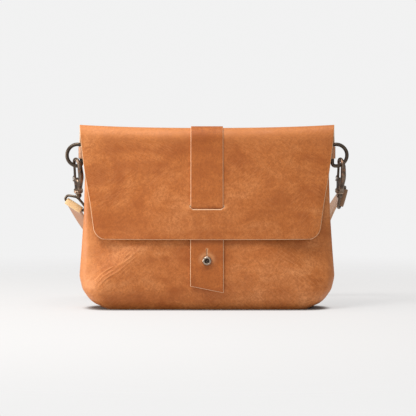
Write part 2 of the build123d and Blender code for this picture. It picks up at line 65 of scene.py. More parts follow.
LEATHER = 1.6 * MM
STRAP_LEATHER = 2.4 * MM
FLAP_LOW, FLAP_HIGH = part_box("flap")
PANEL_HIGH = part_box("front_panel")[1]
TAB_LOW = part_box("closure_tab")[0]
STUD_LOW, STUD_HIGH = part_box("stud")
STUD_Z = (STUD_LOW.z + STUD_HIGH.z) / 2
HINGE = Vector(joints["flap_open"]["pos_m"])

# pouch at each height: half width, half depth, half length of the flat facet, half depth of the side
POUCH_Z = np.array([0, 3, 9, 20, 34, 62, 100, 140, 176]) * MM
POUCH_HALF = np.array([111.0, 117.5, 125.5, 133.3, 136.6, 134.4, 131.8, 130.6, 130.4]) * MM
POUCH_DEPTH = np.array([18, 22, 26, 29, 29.6, 27.2, 21.5, 15.5, 11]) * MM
POUCH_FLAT = np.array([100, 108, 116, 121, 109, 74, 42, 30, 24]) * MM
POUCH_SIDE = np.array([12, 16, 19, 19, 15, 9.5, 6, 5, 4]) * MM
PANEL_TOP = PANEL_HIGH.z
CREASE_START = np.array([133.5, 15.5]) * MM
CREASE_ANGLE = math.radians(38.5)
SEAM_PITCH = 5.6 * MM

FLAP_HALF = 137 * MM
ROLL_BACK_HALF = 137.2 * MM
LAP_HALF = 124 * MM
LAP_BOTTOM = 140 * MM
FLAP_EDGE_Z = np.array([73, 92, 116, 145, 180, 197]) * MM
FLAP_EDGE_X = np.array([118.2, 121.2, 124.6, 130.0, 134.4, 136.4]) * MM
FLAP_CORNER = 12 * MM
CORNER_START = math.radians(14)
FLAP_END_Z = FLAP_LOW.z + 1.6 * MM
FLAP_STAND_OFF = 5.2 * MM
ROLL_TOP = FLAP_HIGH.z
ROLL_ROUNDNESS = 0.82
CLOSURE_HALF = 17.2 * MM
CLOSURE_BOTTOM = 118 * MM
SLOT_Z = 107.4 * MM
SLOT_HALF = 18.4 * MM


def bell(value, width):
    return np.exp(-((value / width) ** 2))


def smooth_curve(at, xs, ys, width=7 * MM):
    """Linear interpolation softened with a bell of the given width."""
    offsets = np.linspace(-1.6, 1.6, 9)
    weights = bell(offsets, 1)
    total = sum(w * np.interp(at + o * width, xs, ys) for o, w in zip(offsets, weights))
    return total / weights.sum()


def smoothstep(low, high, value):
    t = np.clip((value - low) / (high - low), 0, 1)
    return t * t * (3 - 2 * t)


def ramp(low, high, value):
    """smoothstep between two lengths in millimetres."""
    return smoothstep(low * MM, high * MM, value)


def value_noise(x, y, seed):
    """Smooth noise in [-1, 1] whose bumps are about one unit wide. It repeats after 64 units."""
    table = np.random.default_rng(seed).uniform(-1, 1, (64, 64))
    xi, yi = np.floor(x).astype(int), np.floor(y).astype(int)
    fx, fy = x - xi, y - yi
    fx, fy = fx * fx * (3 - 2 * fx), fy * fy * (3 - 2 * fy)
    a, b = table[xi % 64, yi % 64], table[(xi + 1) % 64, yi % 64]
    c, d = table[xi % 64, (yi + 1) % 64], table[(xi + 1) % 64, (yi + 1) % 64]
    return (a * (1 - fx) + b * fx) * (1 - fy) + (c * (1 - fx) + d * fx) * fy


# ---- node materials


class Shader:
    """A short way to write a node tree: its methods return output sockets, unless they say otherwise."""

    def __init__(self, name):
        self.material = bpy.data.materials.new(name)
        self.material.use_nodes = True
        self.tree = self.material.node_tree
        self.tree.nodes.clear()

    def put(self, socket, value):
        """Links an output socket to an input, or sets the input's value."""
        if hasattr(value, "is_output"):
            self.tree.links.new(value, socket)
        else:
            socket.default_value = value

    def node(self, kind, inputs=None, **settings):
        """A new node itself. inputs holds a value or an output socket for each named or numbered input."""
        made = self.tree.nodes.new(kind)
        for key, value in settings.items():
            setattr(made, key, value)
        for key, value in (inputs or {}).items():
            self.put(made.inputs[key], value)
        return made

    def rest(self):
        """Where the point is at rest, so that the pattern stays on the leather when it bends."""
        return self.node("ShaderNodeAttribute", attribute_name="rest").outputs["Vector"]

    def attribute(self, name):
        return self.node("ShaderNodeAttribute", attribute_name=name).outputs["Fac"]

    def scaled(self, vector, scale, turn=(0, 0, 0)):
        """The vector turned back by turn (degrees), then multiplied by scale."""
        turn = [math.radians(a) for a in turn]
        inputs = {"Vector": vector, "Rotation": turn, "Scale": [1 / c for c in scale]}
        return self.node("ShaderNodeMapping", inputs, vector_type="TEXTURE").outputs[0]

    def noise(self, vector, scale, detail=3.0, rough=0.55, distortion=0.0):
        inputs = {"Vector": vector, "Scale": scale, "Detail": detail}
        inputs |= {"Roughness": rough, "Distortion": distortion}
        return self.node("ShaderNodeTexNoise", inputs).outputs["Fac"]

    def cells(self, vector, scale):
        inputs = {"Vector": vector, "Scale": scale}
        return self.node("ShaderNodeTexVoronoi", inputs, feature="F1").outputs["Distance"]

    def math(self, operation, a, b, clamp=False):
        return self.node("ShaderNodeMath", {0: a, 1: b}, operation=operation, use_clamp=clamp).outputs[0]

    def times(self, a, b, clamp=False):
        return self.math("MULTIPLY", a, b, clamp)

    def mixed(self, a, share_a, b, share_b):
        return self.math("ADD", self.times(a, share_a), self.times(b, share_b))

    def remap(self, value, low, high, to_low=0.0, to_high=1.0):
        inputs = {"Value": value, "From Min": low, "From Max": high, "To Min": to_low, "To Max": to_high}
        return self.node("ShaderNodeMapRange", inputs, interpolation_type="SMOOTHSTEP").outputs[0]

    def blend(self, factor, a, b):
        inputs = {"Factor": factor, 6: self.color(a), 7: self.color(b)}
        return self.node("ShaderNodeMix", inputs, data_type="RGBA").outputs[2]

    def color(self, value):
        return value if hasattr(value, "is_output") else (*value, 1.0)

    def bump(self, height, strength, distance, below=None):
        inputs = {"Height": height, "Strength": strength, "Distance": distance}
        if below is not None:
            inputs["Normal"] = below
        return self.node("ShaderNodeBump", inputs).outputs[0]

    def output(self, surface):
        """Links the surface and returns the finished material."""
        out = self.node("ShaderNodeOutputMaterial")
        self.tree.links.new(surface, out.inputs["Surface"])
        return self.material

    def finish(self, color, roughness, normal, metallic=0.0, specular=0.5, sheen=0.0):
        """A principled surface; returns the finished material."""
        inputs = {
            "Base Color": self.color(color),
            "Roughness": roughness,
            "Metallic": metallic,
            "Specular IOR Level": specular,
            "Sheen Weight": sheen,
            "Normal": normal,
        }
        return self.output(self.node("ShaderNodeBsdfPrincipled", inputs).outputs[0])


def darker(color, share):
    return [c * share for c in color]


def tan_leather(name, deep, middle, pale, turn, streaks=1.0, rub_and_highlight=None):
    """Waxed pull-up leather: cloudy colour, fine pebble grain, pale pulled lines and a soft wax sheen.
    turn (degrees) turns the pattern. The last colour goes on rubbed crease ridges and on painted highlights;
    pale is used if it isn't given."""
    s = Shader(name)
    rest = s.scaled(s.rest(), (1, 1, 1), (0, 0, turn))
    clouds = s.noise(rest, 17, detail=4, rough=0.6, distortion=0.8)
    bands = s.noise(s.scaled(rest, (13, 13, 52)), 1.0, distortion=0.5)
    mottle = s.noise(rest, 130, rough=0.65)
    freckles = s.noise(rest, 360, rough=0.7)
    tone = s.mixed(clouds, 0.6, bands, 0.4)
    color = s.blend(s.remap(tone, 0.38, 0.53), deep, middle)
    color = s.blend(s.remap(tone, 0.48, 0.68, 0.0, 0.82), color, pale)
    color = s.blend(s.remap(mottle, 0.38, 0.66, 0.0, 0.30), color, deep)
    color = s.blend(s.remap(freckles, 0.42, 0.62, 0.0, 0.46), color, darker(deep, 0.82))

    # fine pulled lines in two crossing directions, each in its own patches
    crossing = []
    for way, patch_scale in ((42, 23), (-50, 19)):
        stretched = s.scaled(rest, (860, 130, 105), (0, way, 0))
        lines = s.remap(s.noise(stretched, 1.0, detail=2, rough=0.6, distortion=0.25), 0.36, 0.68)
        patch = s.remap(s.noise(rest, patch_scale, detail=2), 0.40, 0.62)
        crossing.append(s.times(lines, patch))
    pulled = s.math("MAXIMUM", *crossing)
    color = s.blend(s.times(pulled, 0.20 * streaks), color, pale)

    pebbles = s.cells(rest, 900)
    pores = s.noise(rest, 1500, detail=2)
    color = s.blend(s.remap(pebbles, 0.05, 0.75, 0.26, 0.0), color, darker(deep, 0.55))

    # where the mesh's stored values are positive, the leather is rubbed pale on crease ridges and takes
    # painted highlights; where they are negative, it takes painted shade in crease valleys, under the flap's
    # edge and over the flap's lower half
    wear_and_painted_light = s.attribute("wear_and_painted_light")
    rub_and_highlight_share = s.times(s.math("MAXIMUM", wear_and_painted_light, 0.0), 0.95, clamp=True)
    painted_shade = s.times(s.math("MAXIMUM", s.times(wear_and_painted_light, -1.0), 0.0), 0.5, clamp=True)
    color = s.blend(rub_and_highlight_share, color, rub_and_highlight or pale)
    color = s.blend(painted_shade, color, darker(deep, 0.7))
    color = s.blend(s.remap(s.attribute("worn"), 0.30, 0.62), color, WORN_EDGE)

    normal = s.bump(s.mixed(pebbles, 0.6, pores, 0.4), 0.42, 0.25 * MM)
    normal = s.bump(freckles, 0.6, 0.45 * MM, normal)
    normal = s.bump(pulled, 0.30 * streaks, 0.28 * MM, normal)
    rough = s.remap(s.noise(rest, 40), 0.3, 0.7, 0.46, 0.60)
    return s.finish(color, rough, normal, specular=0.34)


def raw_edge(name, color):
    """A cut leather edge: pale, fibrous and dry."""
    s = Shader(name)
    fibres = s.noise(s.rest(), 1300, detail=4, rough=0.7)
    patches = s.noise(s.rest(), 120, detail=2)
    shade = s.blend(s.remap(fibres, 0.3, 0.7, 0.0, 0.55), color, darker(color, 0.55))
    shade = s.blend(s.remap(patches, 0.45, 0.7, 0.0, 0.4), shade, darker(color, 0.7))
    return s.finish(shade, 0.82, s.bump(fibres, 0.5, 0.2 * MM), specular=0.25)


def flesh_side(name, color):
    """The suede-like back of the leather."""
    s = Shader(name)
    nap = s.noise(s.rest(), 620, detail=5, rough=0.7)
    cloud = s.noise(s.rest(), 30)
    shade = s.blend(s.remap(nap, 0.3, 0.7, 0.0, 0.5), color, darker(color, 0.72))
    shade = s.blend(s.remap(cloud, 0.4, 0.7, 0.0, 0.35), shade, darker(color, 0.8))
    return s.finish(shade, 0.95, s.bump(nap, 0.6, 0.3 * MM), specular=0.15, sheen=0.3)


def aged_metal(name, dark, worn, bright, wear, roughness):
    """Antiqued plating: dark in the hollows, rubbed to warm metal on edges and in patches."""
    s = Shader(name)
    patches = s.noise(s.rest(), 260, detail=4, rough=0.65)
    fine = s.noise(s.rest(), 1400)
    edge = s.remap(s.node("ShaderNodeNewGeometry").outputs["Pointiness"], 0.505, 0.56)
    color = s.blend(s.remap(patches, 0.62 - 0.2 * wear, 0.78 - 0.1 * wear), dark, worn)
    color = s.blend(s.times(edge, 0.75), color, bright)
    rough = s.remap(fine, 0.3, 0.7, roughness - 0.08, roughness + 0.12)
    return s.finish(color, rough, s.bump(s.mixed(patches, 1.0, fine, 0.4), 0.22, 0.12 * MM), metallic=0.92)


def waxed_thread(name, color):
    """Twisted thread: fine diagonal strands."""
    s = Shader(name)
    strands = s.noise(s.scaled(s.rest(), (900, 900, 2600), (0, 40, 0)), 1.0, detail=2)
    shade = s.blend(s.remap(strands, 0.35, 0.65), color, darker(color, 0.6))
    return s.finish(shade, 0.6, s.bump(strands, 0.6, 0.15 * MM), specular=0.4, sheen=0.1)


WORN_EDGE = (0.80, 0.51, 0.31)
DEEP = (0.39, 0.098, 0.013)
LEATHERS = {  # deep, middle and pale colour, turn, streaks, colour of rubbed crease ridges and painted highlights
    "pouch": (DEEP, (0.56, 0.175, 0.038), (0.75, 0.31, 0.112), 11),
    "flap": (DEEP, (0.545, 0.165, 0.032), (0.72, 0.275, 0.088), 47, 1.2),
    "closure": (
        (0.375, 0.092, 0.012), (0.475, 0.133, 0.021), (0.62, 0.205, 0.050), 83, 0.6, (0.74, 0.34, 0.14)
    ),
    "strap": ((0.46, 0.19, 0.075), (0.56, 0.26, 0.115), (0.64, 0.33, 0.16), 131, 0.5, (0.88, 0.60, 0.31)),
    "chape": ((0.52, 0.24, 0.12), (0.66, 0.33, 0.18), (0.80, 0.48, 0.30), 17, 0.3),
}
METALS = {  # dark, worn and bright colour, wear, roughness
    "brass_dark": ((0.036, 0.025, 0.019), (0.13, 0.092, 0.066), (0.36, 0.28, 0.21), 0.35, 0.36),
    "brass_worn": ((0.048, 0.031, 0.022), (0.33, 0.155, 0.08), (0.46, 0.35, 0.26), 0.7, 0.36),
    "nickel_stud": ((0.15, 0.105, 0.075), (0.36, 0.28, 0.21), (0.62, 0.50, 0.40), 0.5, 0.25),
    "steel_lever": ((0.52, 0.48, 0.45), (0.66, 0.62, 0.58), (0.8, 0.76, 0.7), 0.6, 0.30),
    "rivet_grey": ((0.20, 0.18, 0.17), (0.34, 0.31, 0.28), (0.5, 0.46, 0.42), 0.5, 0.42),
}
leather = {name: tan_leather(f"leather_{name}", *looks) for name, looks in LEATHERS.items()}
metal = {name: aged_metal(name, *looks) for name, looks in METALS.items()}
edge_pale = raw_edge("edge_pale", (0.88, 0.60, 0.40))
edge_strap = raw_edge("edge_strap", (0.66, 0.40, 0.24))
flesh = flesh_side("flesh", (0.50, 0.25, 0.12))
flesh_strap = flesh_side("flesh_strap", (0.48, 0.23, 0.12))
flesh_shaded = flesh_side("flesh_shaded", (0.31, 0.175, 0.10))
thread_tan = waxed_thread("thread_tan", (0.50, 0.27, 0.13))


# ---- mesh helpers


def new_object(name, vertices, faces, materials, face_materials=None):
    """A smooth mesh object whose rest position is stored as an attribute for its materials."""
    mesh = bpy.data.meshes.new(name)
    mesh.from_pydata([tuple(v) for v in vertices], [], [tuple(f) for f in faces])
    for material in materials:
        mesh.materials.append(material)
    if face_materials is not None:
        mesh.polygons.foreach_set("material_index", np.array(face_materials, np.int32))
    mesh.polygons.foreach_set("use_smooth", [True] * len(mesh.polygons))
    mesh.update()
    obj = bpy.data.objects.new(name, mesh)
    bpy.context.scene.collection.objects.link(obj)
    store_rest(obj)
    return obj


def stand_in(obj, slot, *replaced):
    """Shows a piece in the stead of the CAD nodes it stands for, which it hides."""
    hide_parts(*replaced)


def place(obj, body, slot, *replaced):
    """The same for a piece that moves with one body."""
    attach(obj, body)
    stand_in(obj, slot, *replaced)


def store_rest(obj):
    co = np.zeros(len(obj.data.vertices) * 3, np.float32)
    obj.data.vertices.foreach_get("co", co)
    layer = obj.data.attributes.get("rest") or obj.data.attributes.new("rest", "FLOAT_VECTOR", "POINT")
    layer.data.foreach_set("vector", co)


def store_value(obj, name, values):
    layer = obj.data.attributes.new(name, "FLOAT", "POINT")
    layer.data.foreach_set("value", np.asarray(values, np.float32).ravel())


def face_out(obj, way):
    """Flips the mesh if its faces look against way(center), a function that gives the outward direction."""
    score = sum(p.normal.dot(way(p.center)) * p.area for p in obj.data.polygons)
    if score < 0:
        obj.data.flip_normals()


def face_outward(obj):
    """Turns all faces of a closed mesh outwards."""
    work = bmesh.new()
    work.from_mesh(obj.data)
    bmesh.ops.recalc_face_normals(work, faces=work.faces)
    work.to_mesh(obj.data)
    work.free()


def grid_faces(rows, columns, keep=None, wrap=False):
    """Quads of a rows x columns grid. keep(r, c) may leave some out."""
    faces = []
    for r in range(rows - 1):
        for c in range(columns if wrap else columns - 1):
            if keep is None or keep(r, c):
                here, below = r * columns, (r + 1) * columns
                n = (c + 1) % columns
                faces.append((here + c, here + n, below + n, below + c))
    return faces


# distance of each added row from the edge, and the most of the first step that it may take
EDGE_ROWS = ((0.28 * MM, 0.3), (0.7 * MM, 0.6))


def refine_edges(points):
    """Adds two rows and columns close to each side of a grid, so that its edge can be rounded."""
    for axis in (0, 1):
        moved = np.moveaxis(points, axis, 0)
        for _ in range(2):
            step = moved[1] - moved[0]
            length = np.linalg.norm(step, axis=-1, keepdims=True)
            near = [moved[0] + step * np.minimum(d / length, f) for d, f in EDGE_ROWS]
            moved = np.concatenate([moved[:1], np.array(near), moved[1:]])[::-1]
        points = np.moveaxis(moved, 0, axis)
    return points


def wear_edges(obj, width=0.42 * MM, drop=0.30 * MM):
    """Rounds the grain side down along every edge and stores where it is rubbed to the pale core."""
    work = bmesh.new()
    work.from_mesh(obj.data)
    samples = []
    for e in work.edges:
        if e.is_boundary:
            a, b = e.verts[0].co, e.verts[1].co
            count = max(2, int((b - a).length / (0.2 * MM)))
            samples += [a.lerp(b, k / count) for k in range(count)]
    tree = KDTree(len(samples))
    for k, co in enumerate(samples):
        tree.insert(co, k)
    tree.balance()
    worn = np.zeros(len(work.verts))
    for k, v in enumerate(work.verts):
        worn[k] = bell(tree.find(v.co)[2], width)
        v.co = v.co - v.normal * drop * worn[k]
    work.to_mesh(obj.data)
    work.free()
    store_value(obj, "worn", worn)


def leather_sheet(name, points, grain, way, thickness=LEATHER, edge=edge_pale, keep=None, wear_and_painted_light=None):
    """A sheet from a (rows, columns, 3) grid of its grain side, given thickness to its other side."""
    rows, columns = points.shape[:2]
    faces = grid_faces(rows, columns, keep)
    obj = new_object(name, points.reshape(-1, 3), faces, [leather[grain], flesh, edge])
    face_out(obj, way)
    store_value(obj, "wear_and_painted_light", np.zeros(rows * columns) if wear_and_painted_light is None else wear_and_painted_light)
    wear_edges(obj)
    solid = obj.modifiers.new("thickness", "SOLIDIFY")
    solid.thickness = thickness
    solid.offset = -1
    solid.use_even_offset = False
    solid.material_offset = 1
    solid.material_offset_rim = 2
    return obj


def points_of(x, y, z):
    """Points from their coordinates. A coordinate may be one number."""
    return np.stack(np.broadcast_arrays(x, y, z), -1)


def arc(x, y, radius, low, high, count):
    """Points of a circle's arc round (x, y), from low to high degrees."""
    angles = np.radians(np.linspace(low, high, count))
    return [(x + radius * math.cos(a), y + radius * math.sin(a)) for a in angles]


def scaled_pairs(pairs):
    """Millimetres to metres."""
    return [(a * MM, b * MM) for a, b in pairs]


def lengths_along(points):
    """How far along a polyline each of its points is."""
    steps = np.linalg.norm(np.diff(points, axis=0), axis=1)
    return np.concatenate([[0], np.cumsum(steps)])


def interpolated(at, along, values):
    """Rows of values, known at the lengths in along, at the lengths in at."""
    return np.stack([np.interp(at, along, column) for column in values.T], axis=1)


def arc_resample(points, count):
    """The same polyline with evenly spaced points."""
    along = lengths_along(points)
    return interpolated(np.linspace(0, along[-1], count), along, points)


def superellipse(count, rx, ry, power):
    angles = np.arange(count) * 2 * math.pi / count
    c, s = np.cos(angles), np.sin(angles)
    x = rx * np.sign(c) * np.abs(c) ** (2 / power)
    y = ry * np.sign(s) * np.abs(s) ** (2 / power)
    return np.stack([x, y], 1)


def end_caps(rings):
    count = len(rings[0])
    return [tuple(reversed(range(count))), tuple(range((len(rings) - 1) * count, len(rings) * count))]


def skin(name, rings, material, closed=False):
    """A closed skin over rings of equal count. Open ends are capped, or the last ring joins the first."""
    count = len(rings[0])
    faces = grid_faces(len(rings), count, wrap=True)
    if closed:
        base = (len(rings) - 1) * count
        faces += [(base + c, base + (c + 1) % count, (c + 1) % count, c) for c in range(count)]
    else:
        faces += end_caps(rings)
    obj = new_object(name, np.concatenate(rings), faces, [material])
    face_outward(obj)
    return obj


def unit(v):
    v = np.asarray(v, float)
    return v / np.linalg.norm(v)


def tube(name, path, radius, material, closed=False, flat=1.0, across=None, power=2.0, count=20):
    """A round or flattened bar along a path. across is the direction in which flat scales it."""
    path = np.asarray(path, float)
    radii = np.broadcast_to(radius, (len(path),))
    rings = []
    if closed:
        tangents = np.roll(path, -1, 0) - np.roll(path, 1, 0)
    else:
        tangents = np.gradient(path, axis=0)
    side = unit(np.cross(unit(tangents[0]), across if across is not None else (0.3, 0.5, 0.8)))
    for point, tangent, r in zip(path, tangents, radii):
        t = unit(tangent)
        if across is not None:
            side = unit(np.cross(t, across))
        else:
            side = unit(side - t * side.dot(t))
        up = np.cross(side, t)
        ring = superellipse(count, r, r * flat, power)
        rings.append(point + ring[:, :1] * side + ring[:, 1:] * up)
    return skin(name, rings, material, closed)


def lathe(name, profile, origin, axis, material, count=40):
    """A turned part: profile holds (radius, height) pairs along the axis, in millimetres."""
    axis = unit(axis)
    side = unit(np.cross(axis, (0.31, 0.52, 0.79)))
    other = np.cross(axis, side)
    angles = np.arange(count) * 2 * math.pi / count
    circle = np.outer(np.cos(angles), side) + np.outer(np.sin(angles), other)
    rings = [np.asarray(origin) + axis * (h * MM) + circle * max(r * MM, 1e-5) for r, h in profile]
    return skin(name, rings, material)


def round_path(corners, radius, steps=6, closed=True):
    """A polyline with its corners rounded by quadratic curves."""
    corners = [np.asarray(c, float) for c in corners]
    out = []
    total = len(corners)
    for k, corner in enumerate(corners):
        if not closed and k in (0, total - 1):
            out.append(corner)
            continue
        before, after = corners[k - 1] - corner, corners[(k + 1) % total] - corner
        cut = min(radius, 0.45 * np.linalg.norm(before), 0.45 * np.linalg.norm(after))
        a, b = corner + unit(before) * cut, corner + unit(after) * cut
        for t in np.linspace(0, 1, steps):
            out.append(a * (1 - t) ** 2 + corner * 2 * t * (1 - t) + b * t * t)
    return np.array(out)


def join(name, parts):
    """Joins objects into one, keeping their materials and attributes."""
    bpy.ops.object.select_all(action="DESELECT")
    for part in parts:
        part.select_set(True)
    bpy.context.view_layer.objects.active = parts[0]
    bpy.ops.object.join()
    parts[0].name = name
    parts[0].data.name = name
    return parts[0]


def soften(obj, width):
    """Rounds the sharp edges of a part."""
    bevel = obj.modifiers.new("rounded", "BEVEL")
    bevel.width = width
    bevel.segments = 3
    bevel.limit_method = "ANGLE"
    bevel.angle_limit = math.radians(35)


# ---- pouch


def pouch_depth(x, z):
    """How far the pouch's outside stands from its middle plane at (x, z)."""
    half = smooth_curve(z, POUCH_Z, POUCH_HALF, 3 * MM)
    deep = smooth_curve(z, POUCH_Z, POUCH_DEPTH, 3 * MM)
    flat = smooth_curve(z, POUCH_Z, POUCH_FLAT)
    side = smooth_curve(z, POUCH_Z, POUCH_SIDE)
    t = np.abs(x)
    turn = 4.5 * MM + 5 * MM * ramp(50, 110, z)
    slope = (deep - side) / (half - 4 * MM - flat)
    depth = deep - slope * turn * np.logaddexp(0, (t - flat) / turn)
    end = np.minimum(9 * MM, side)
    depth = depth * np.sqrt(np.clip(1 - np.clip((t - half + end) / end, 0, 1) ** 2, 0, 1))
    return np.maximum(depth, 0)


def corner_creases(x, z):
    """Height of the bundle of wavy creases that runs from each lower corner up and inwards."""
    side = np.sign(x)
    cx, cz = np.abs(x) - CREASE_START[0], z - CREASE_START[1]
    along = -cx * math.cos(CREASE_ANGLE) + cz * math.sin(CREASE_ANGLE)
    across = cx * math.sin(CREASE_ANGLE) + cz * math.cos(CREASE_ANGLE)
    amount = np.where(side < 0, 1.0, 0.7)
    reach = ramp(4, 20, along) * (1 - ramp(58, 96, along))
    width = 4.0 * MM + 0.085 * np.maximum(along, 0)
    drift = 2.2 * MM * value_noise(along / (15 * MM), across / (20 * MM) + 7 * side, 5)
    band = bell(across - drift, width)
    wobble = 1.3 * value_noise(along / (8 * MM), across / (9 * MM) + 11 * side, 6)
    ridge = np.cos((across + 0.5 * drift) / (3.6 * MM) * 2 * math.pi + wobble)
    ridge = np.maximum(ridge, 0) ** 1.6 - 0.3
    broken = smoothstep(-0.45, 0.5, value_noise(along / (13 * MM), across / (4.5 * MM) + 3 * side, 8))
    fan = ridge * band * broken * reach
    wide = bell(across - drift, width * 3.4) * reach
    fine = value_noise(along / (9 * MM), across / (1.9 * MM) + 5 * side, 9)
    return amount * (fan + 0.22 * wide * fine)


def pouch_panel(name, side):
    """Front (side -1) or back (side 1) half: from the base seam, round the base's edge, up to the mouth."""
    columns = 241
    wall = [np.arange(0, 16, 0.8), np.arange(16, 84, 1.15), np.arange(84, PANEL_TOP / MM, 3.0)]
    levels = [(0.0, k / 7) for k in range(7)]
    levels += [(z * MM, 1.0) for z in np.concatenate(wall)] + [(PANEL_TOP, 1.0)]
    fine = np.linspace(-1, 1, 1601)
    spread = np.sign(fine) * (1 - (1 - np.abs(fine)) ** 1.9)
    rows = []
    for z, share in levels:
        half = smooth_curve(z, POUCH_Z, POUCH_HALF, 3 * MM)
        x, depth = arc_resample(np.stack([spread * half, pouch_depth(spread * half, z)], 1), columns).T
        lift = 0.4 * MM * (1 - share) if z == 0 else 0
        tip = smoothstep(half - 10 * MM, half, np.abs(x)) * (1 - ramp(0, 6, z))
        rows.append(points_of(x, side * (depth * share + 0.12 * MM), z + lift + 1.3 * MM * tip))
    points = np.array(rows)
    x, z = points[..., 0], points[..., 2]
    body = ramp(3, 22, z)
    crease = corner_creases(x, z) * ramp(1, 6, z)
    sag = value_noise(x / (52 * MM) + 3 * side, z / (46 * MM), 21 + side)
    dent = value_noise(x / (23 * MM), z / (27 * MM) + 9 * side, 31 + side)
    push = (0.9 * sag + 0.35 * dent) * MM * body + 1.0 * MM * crease
    fade = ramp(0, 10, np.abs(points[..., 1]))
    points[..., 1] += side * push * fade
    # painted highlight along both side edges, stronger on the left where the light falls; the creases also
    # colour the leather: rubbed pale on their ridges, painted shade in their valleys
    rub_and_highlight = 0.42 * ramp(108, 131, -x) + 0.15 * ramp(112, 131, x)
    wear_and_painted_light = crease * fade + rub_and_highlight * body
    obj = leather_sheet(
        f"pouch_{name}", points, "pouch", lambda c: Vector((c.x * 0.3, c.y, c.z - 0.08)), wear_and_painted_light=wear_and_painted_light
    )
    place(obj, "bag", "pouch_leather", f"{name}_panel")


# ---- flap, closure strap and tab


def flap_front_y(x, z):
    """The flap's grain side at the front: the pouch's shape, bridged where the pouch turns away."""
    deep = smooth_curve(z, POUCH_Z, POUCH_DEPTH)
    own = pouch_depth(np.minimum(np.abs(x), 124 * MM), z)
    wave = value_noise(x / (58 * MM) + 5, z / (50 * MM), 41) * 0.75 * MM
    ripple = value_noise(x / (26 * MM), z / (21 * MM) + 4, 43) * 0.32 * MM
    bridge = deep * (1 - 0.22 * np.abs(x / FLAP_HALF) ** 2.6)
    return -(wave + ripple) - (0.45 * own + 0.55 * bridge + FLAP_STAND_OFF)


def flap_back_y(x, z):
    """The flap's grain side on the back."""
    deep = smooth_curve(z, POUCH_Z, POUCH_DEPTH)
    return deep + 1.9 * MM - 2.4 * MM * np.abs(x / FLAP_HALF) ** 4


def smile(x):
    """The top edge rises towards both ends."""
    return 3.4 * MM * np.abs(x / FLAP_HALF) ** 2.4


def roll_section(x, angle, offset=0.0):
    """y and z of the grain side on the top roll, offset outwards. angle runs from the back to the front."""
    back = flap_back_y(x, HINGE.z) + offset
    front = flap_front_y(x, HINGE.z) - offset
    rise = ROLL_TOP - HINGE.z + offset + smile(x)
    y = (back + front) / 2 + (back - front) / 2 * np.cos(angle)
    return y, HINGE.z + rise * np.sin(angle) ** ROLL_ROUNDNESS


def bend_at_the_roll(obj):
    """Bakes the sheet's placement into its mesh."""
    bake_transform(obj)


def flap_half_width(z, on_back):
    """Half width of the flap at height z: on the back the lap, on the front with round lower corners."""
    if on_back:
        return LAP_HALF + (FLAP_HALF - LAP_HALF) * ramp(-22, -2, z - HINGE.z)
    half = smooth_curve(z, FLAP_EDGE_Z, FLAP_EDGE_X, 9 * MM)
    circle_low = FLAP_END_Z - FLAP_CORNER * (1 - math.cos(CORNER_START))
    drop = np.clip(FLAP_CORNER - (z - circle_low), 0, FLAP_CORNER)
    return half - (FLAP_CORNER - np.sqrt(np.maximum(FLAP_CORNER**2 - drop**2, 0)))


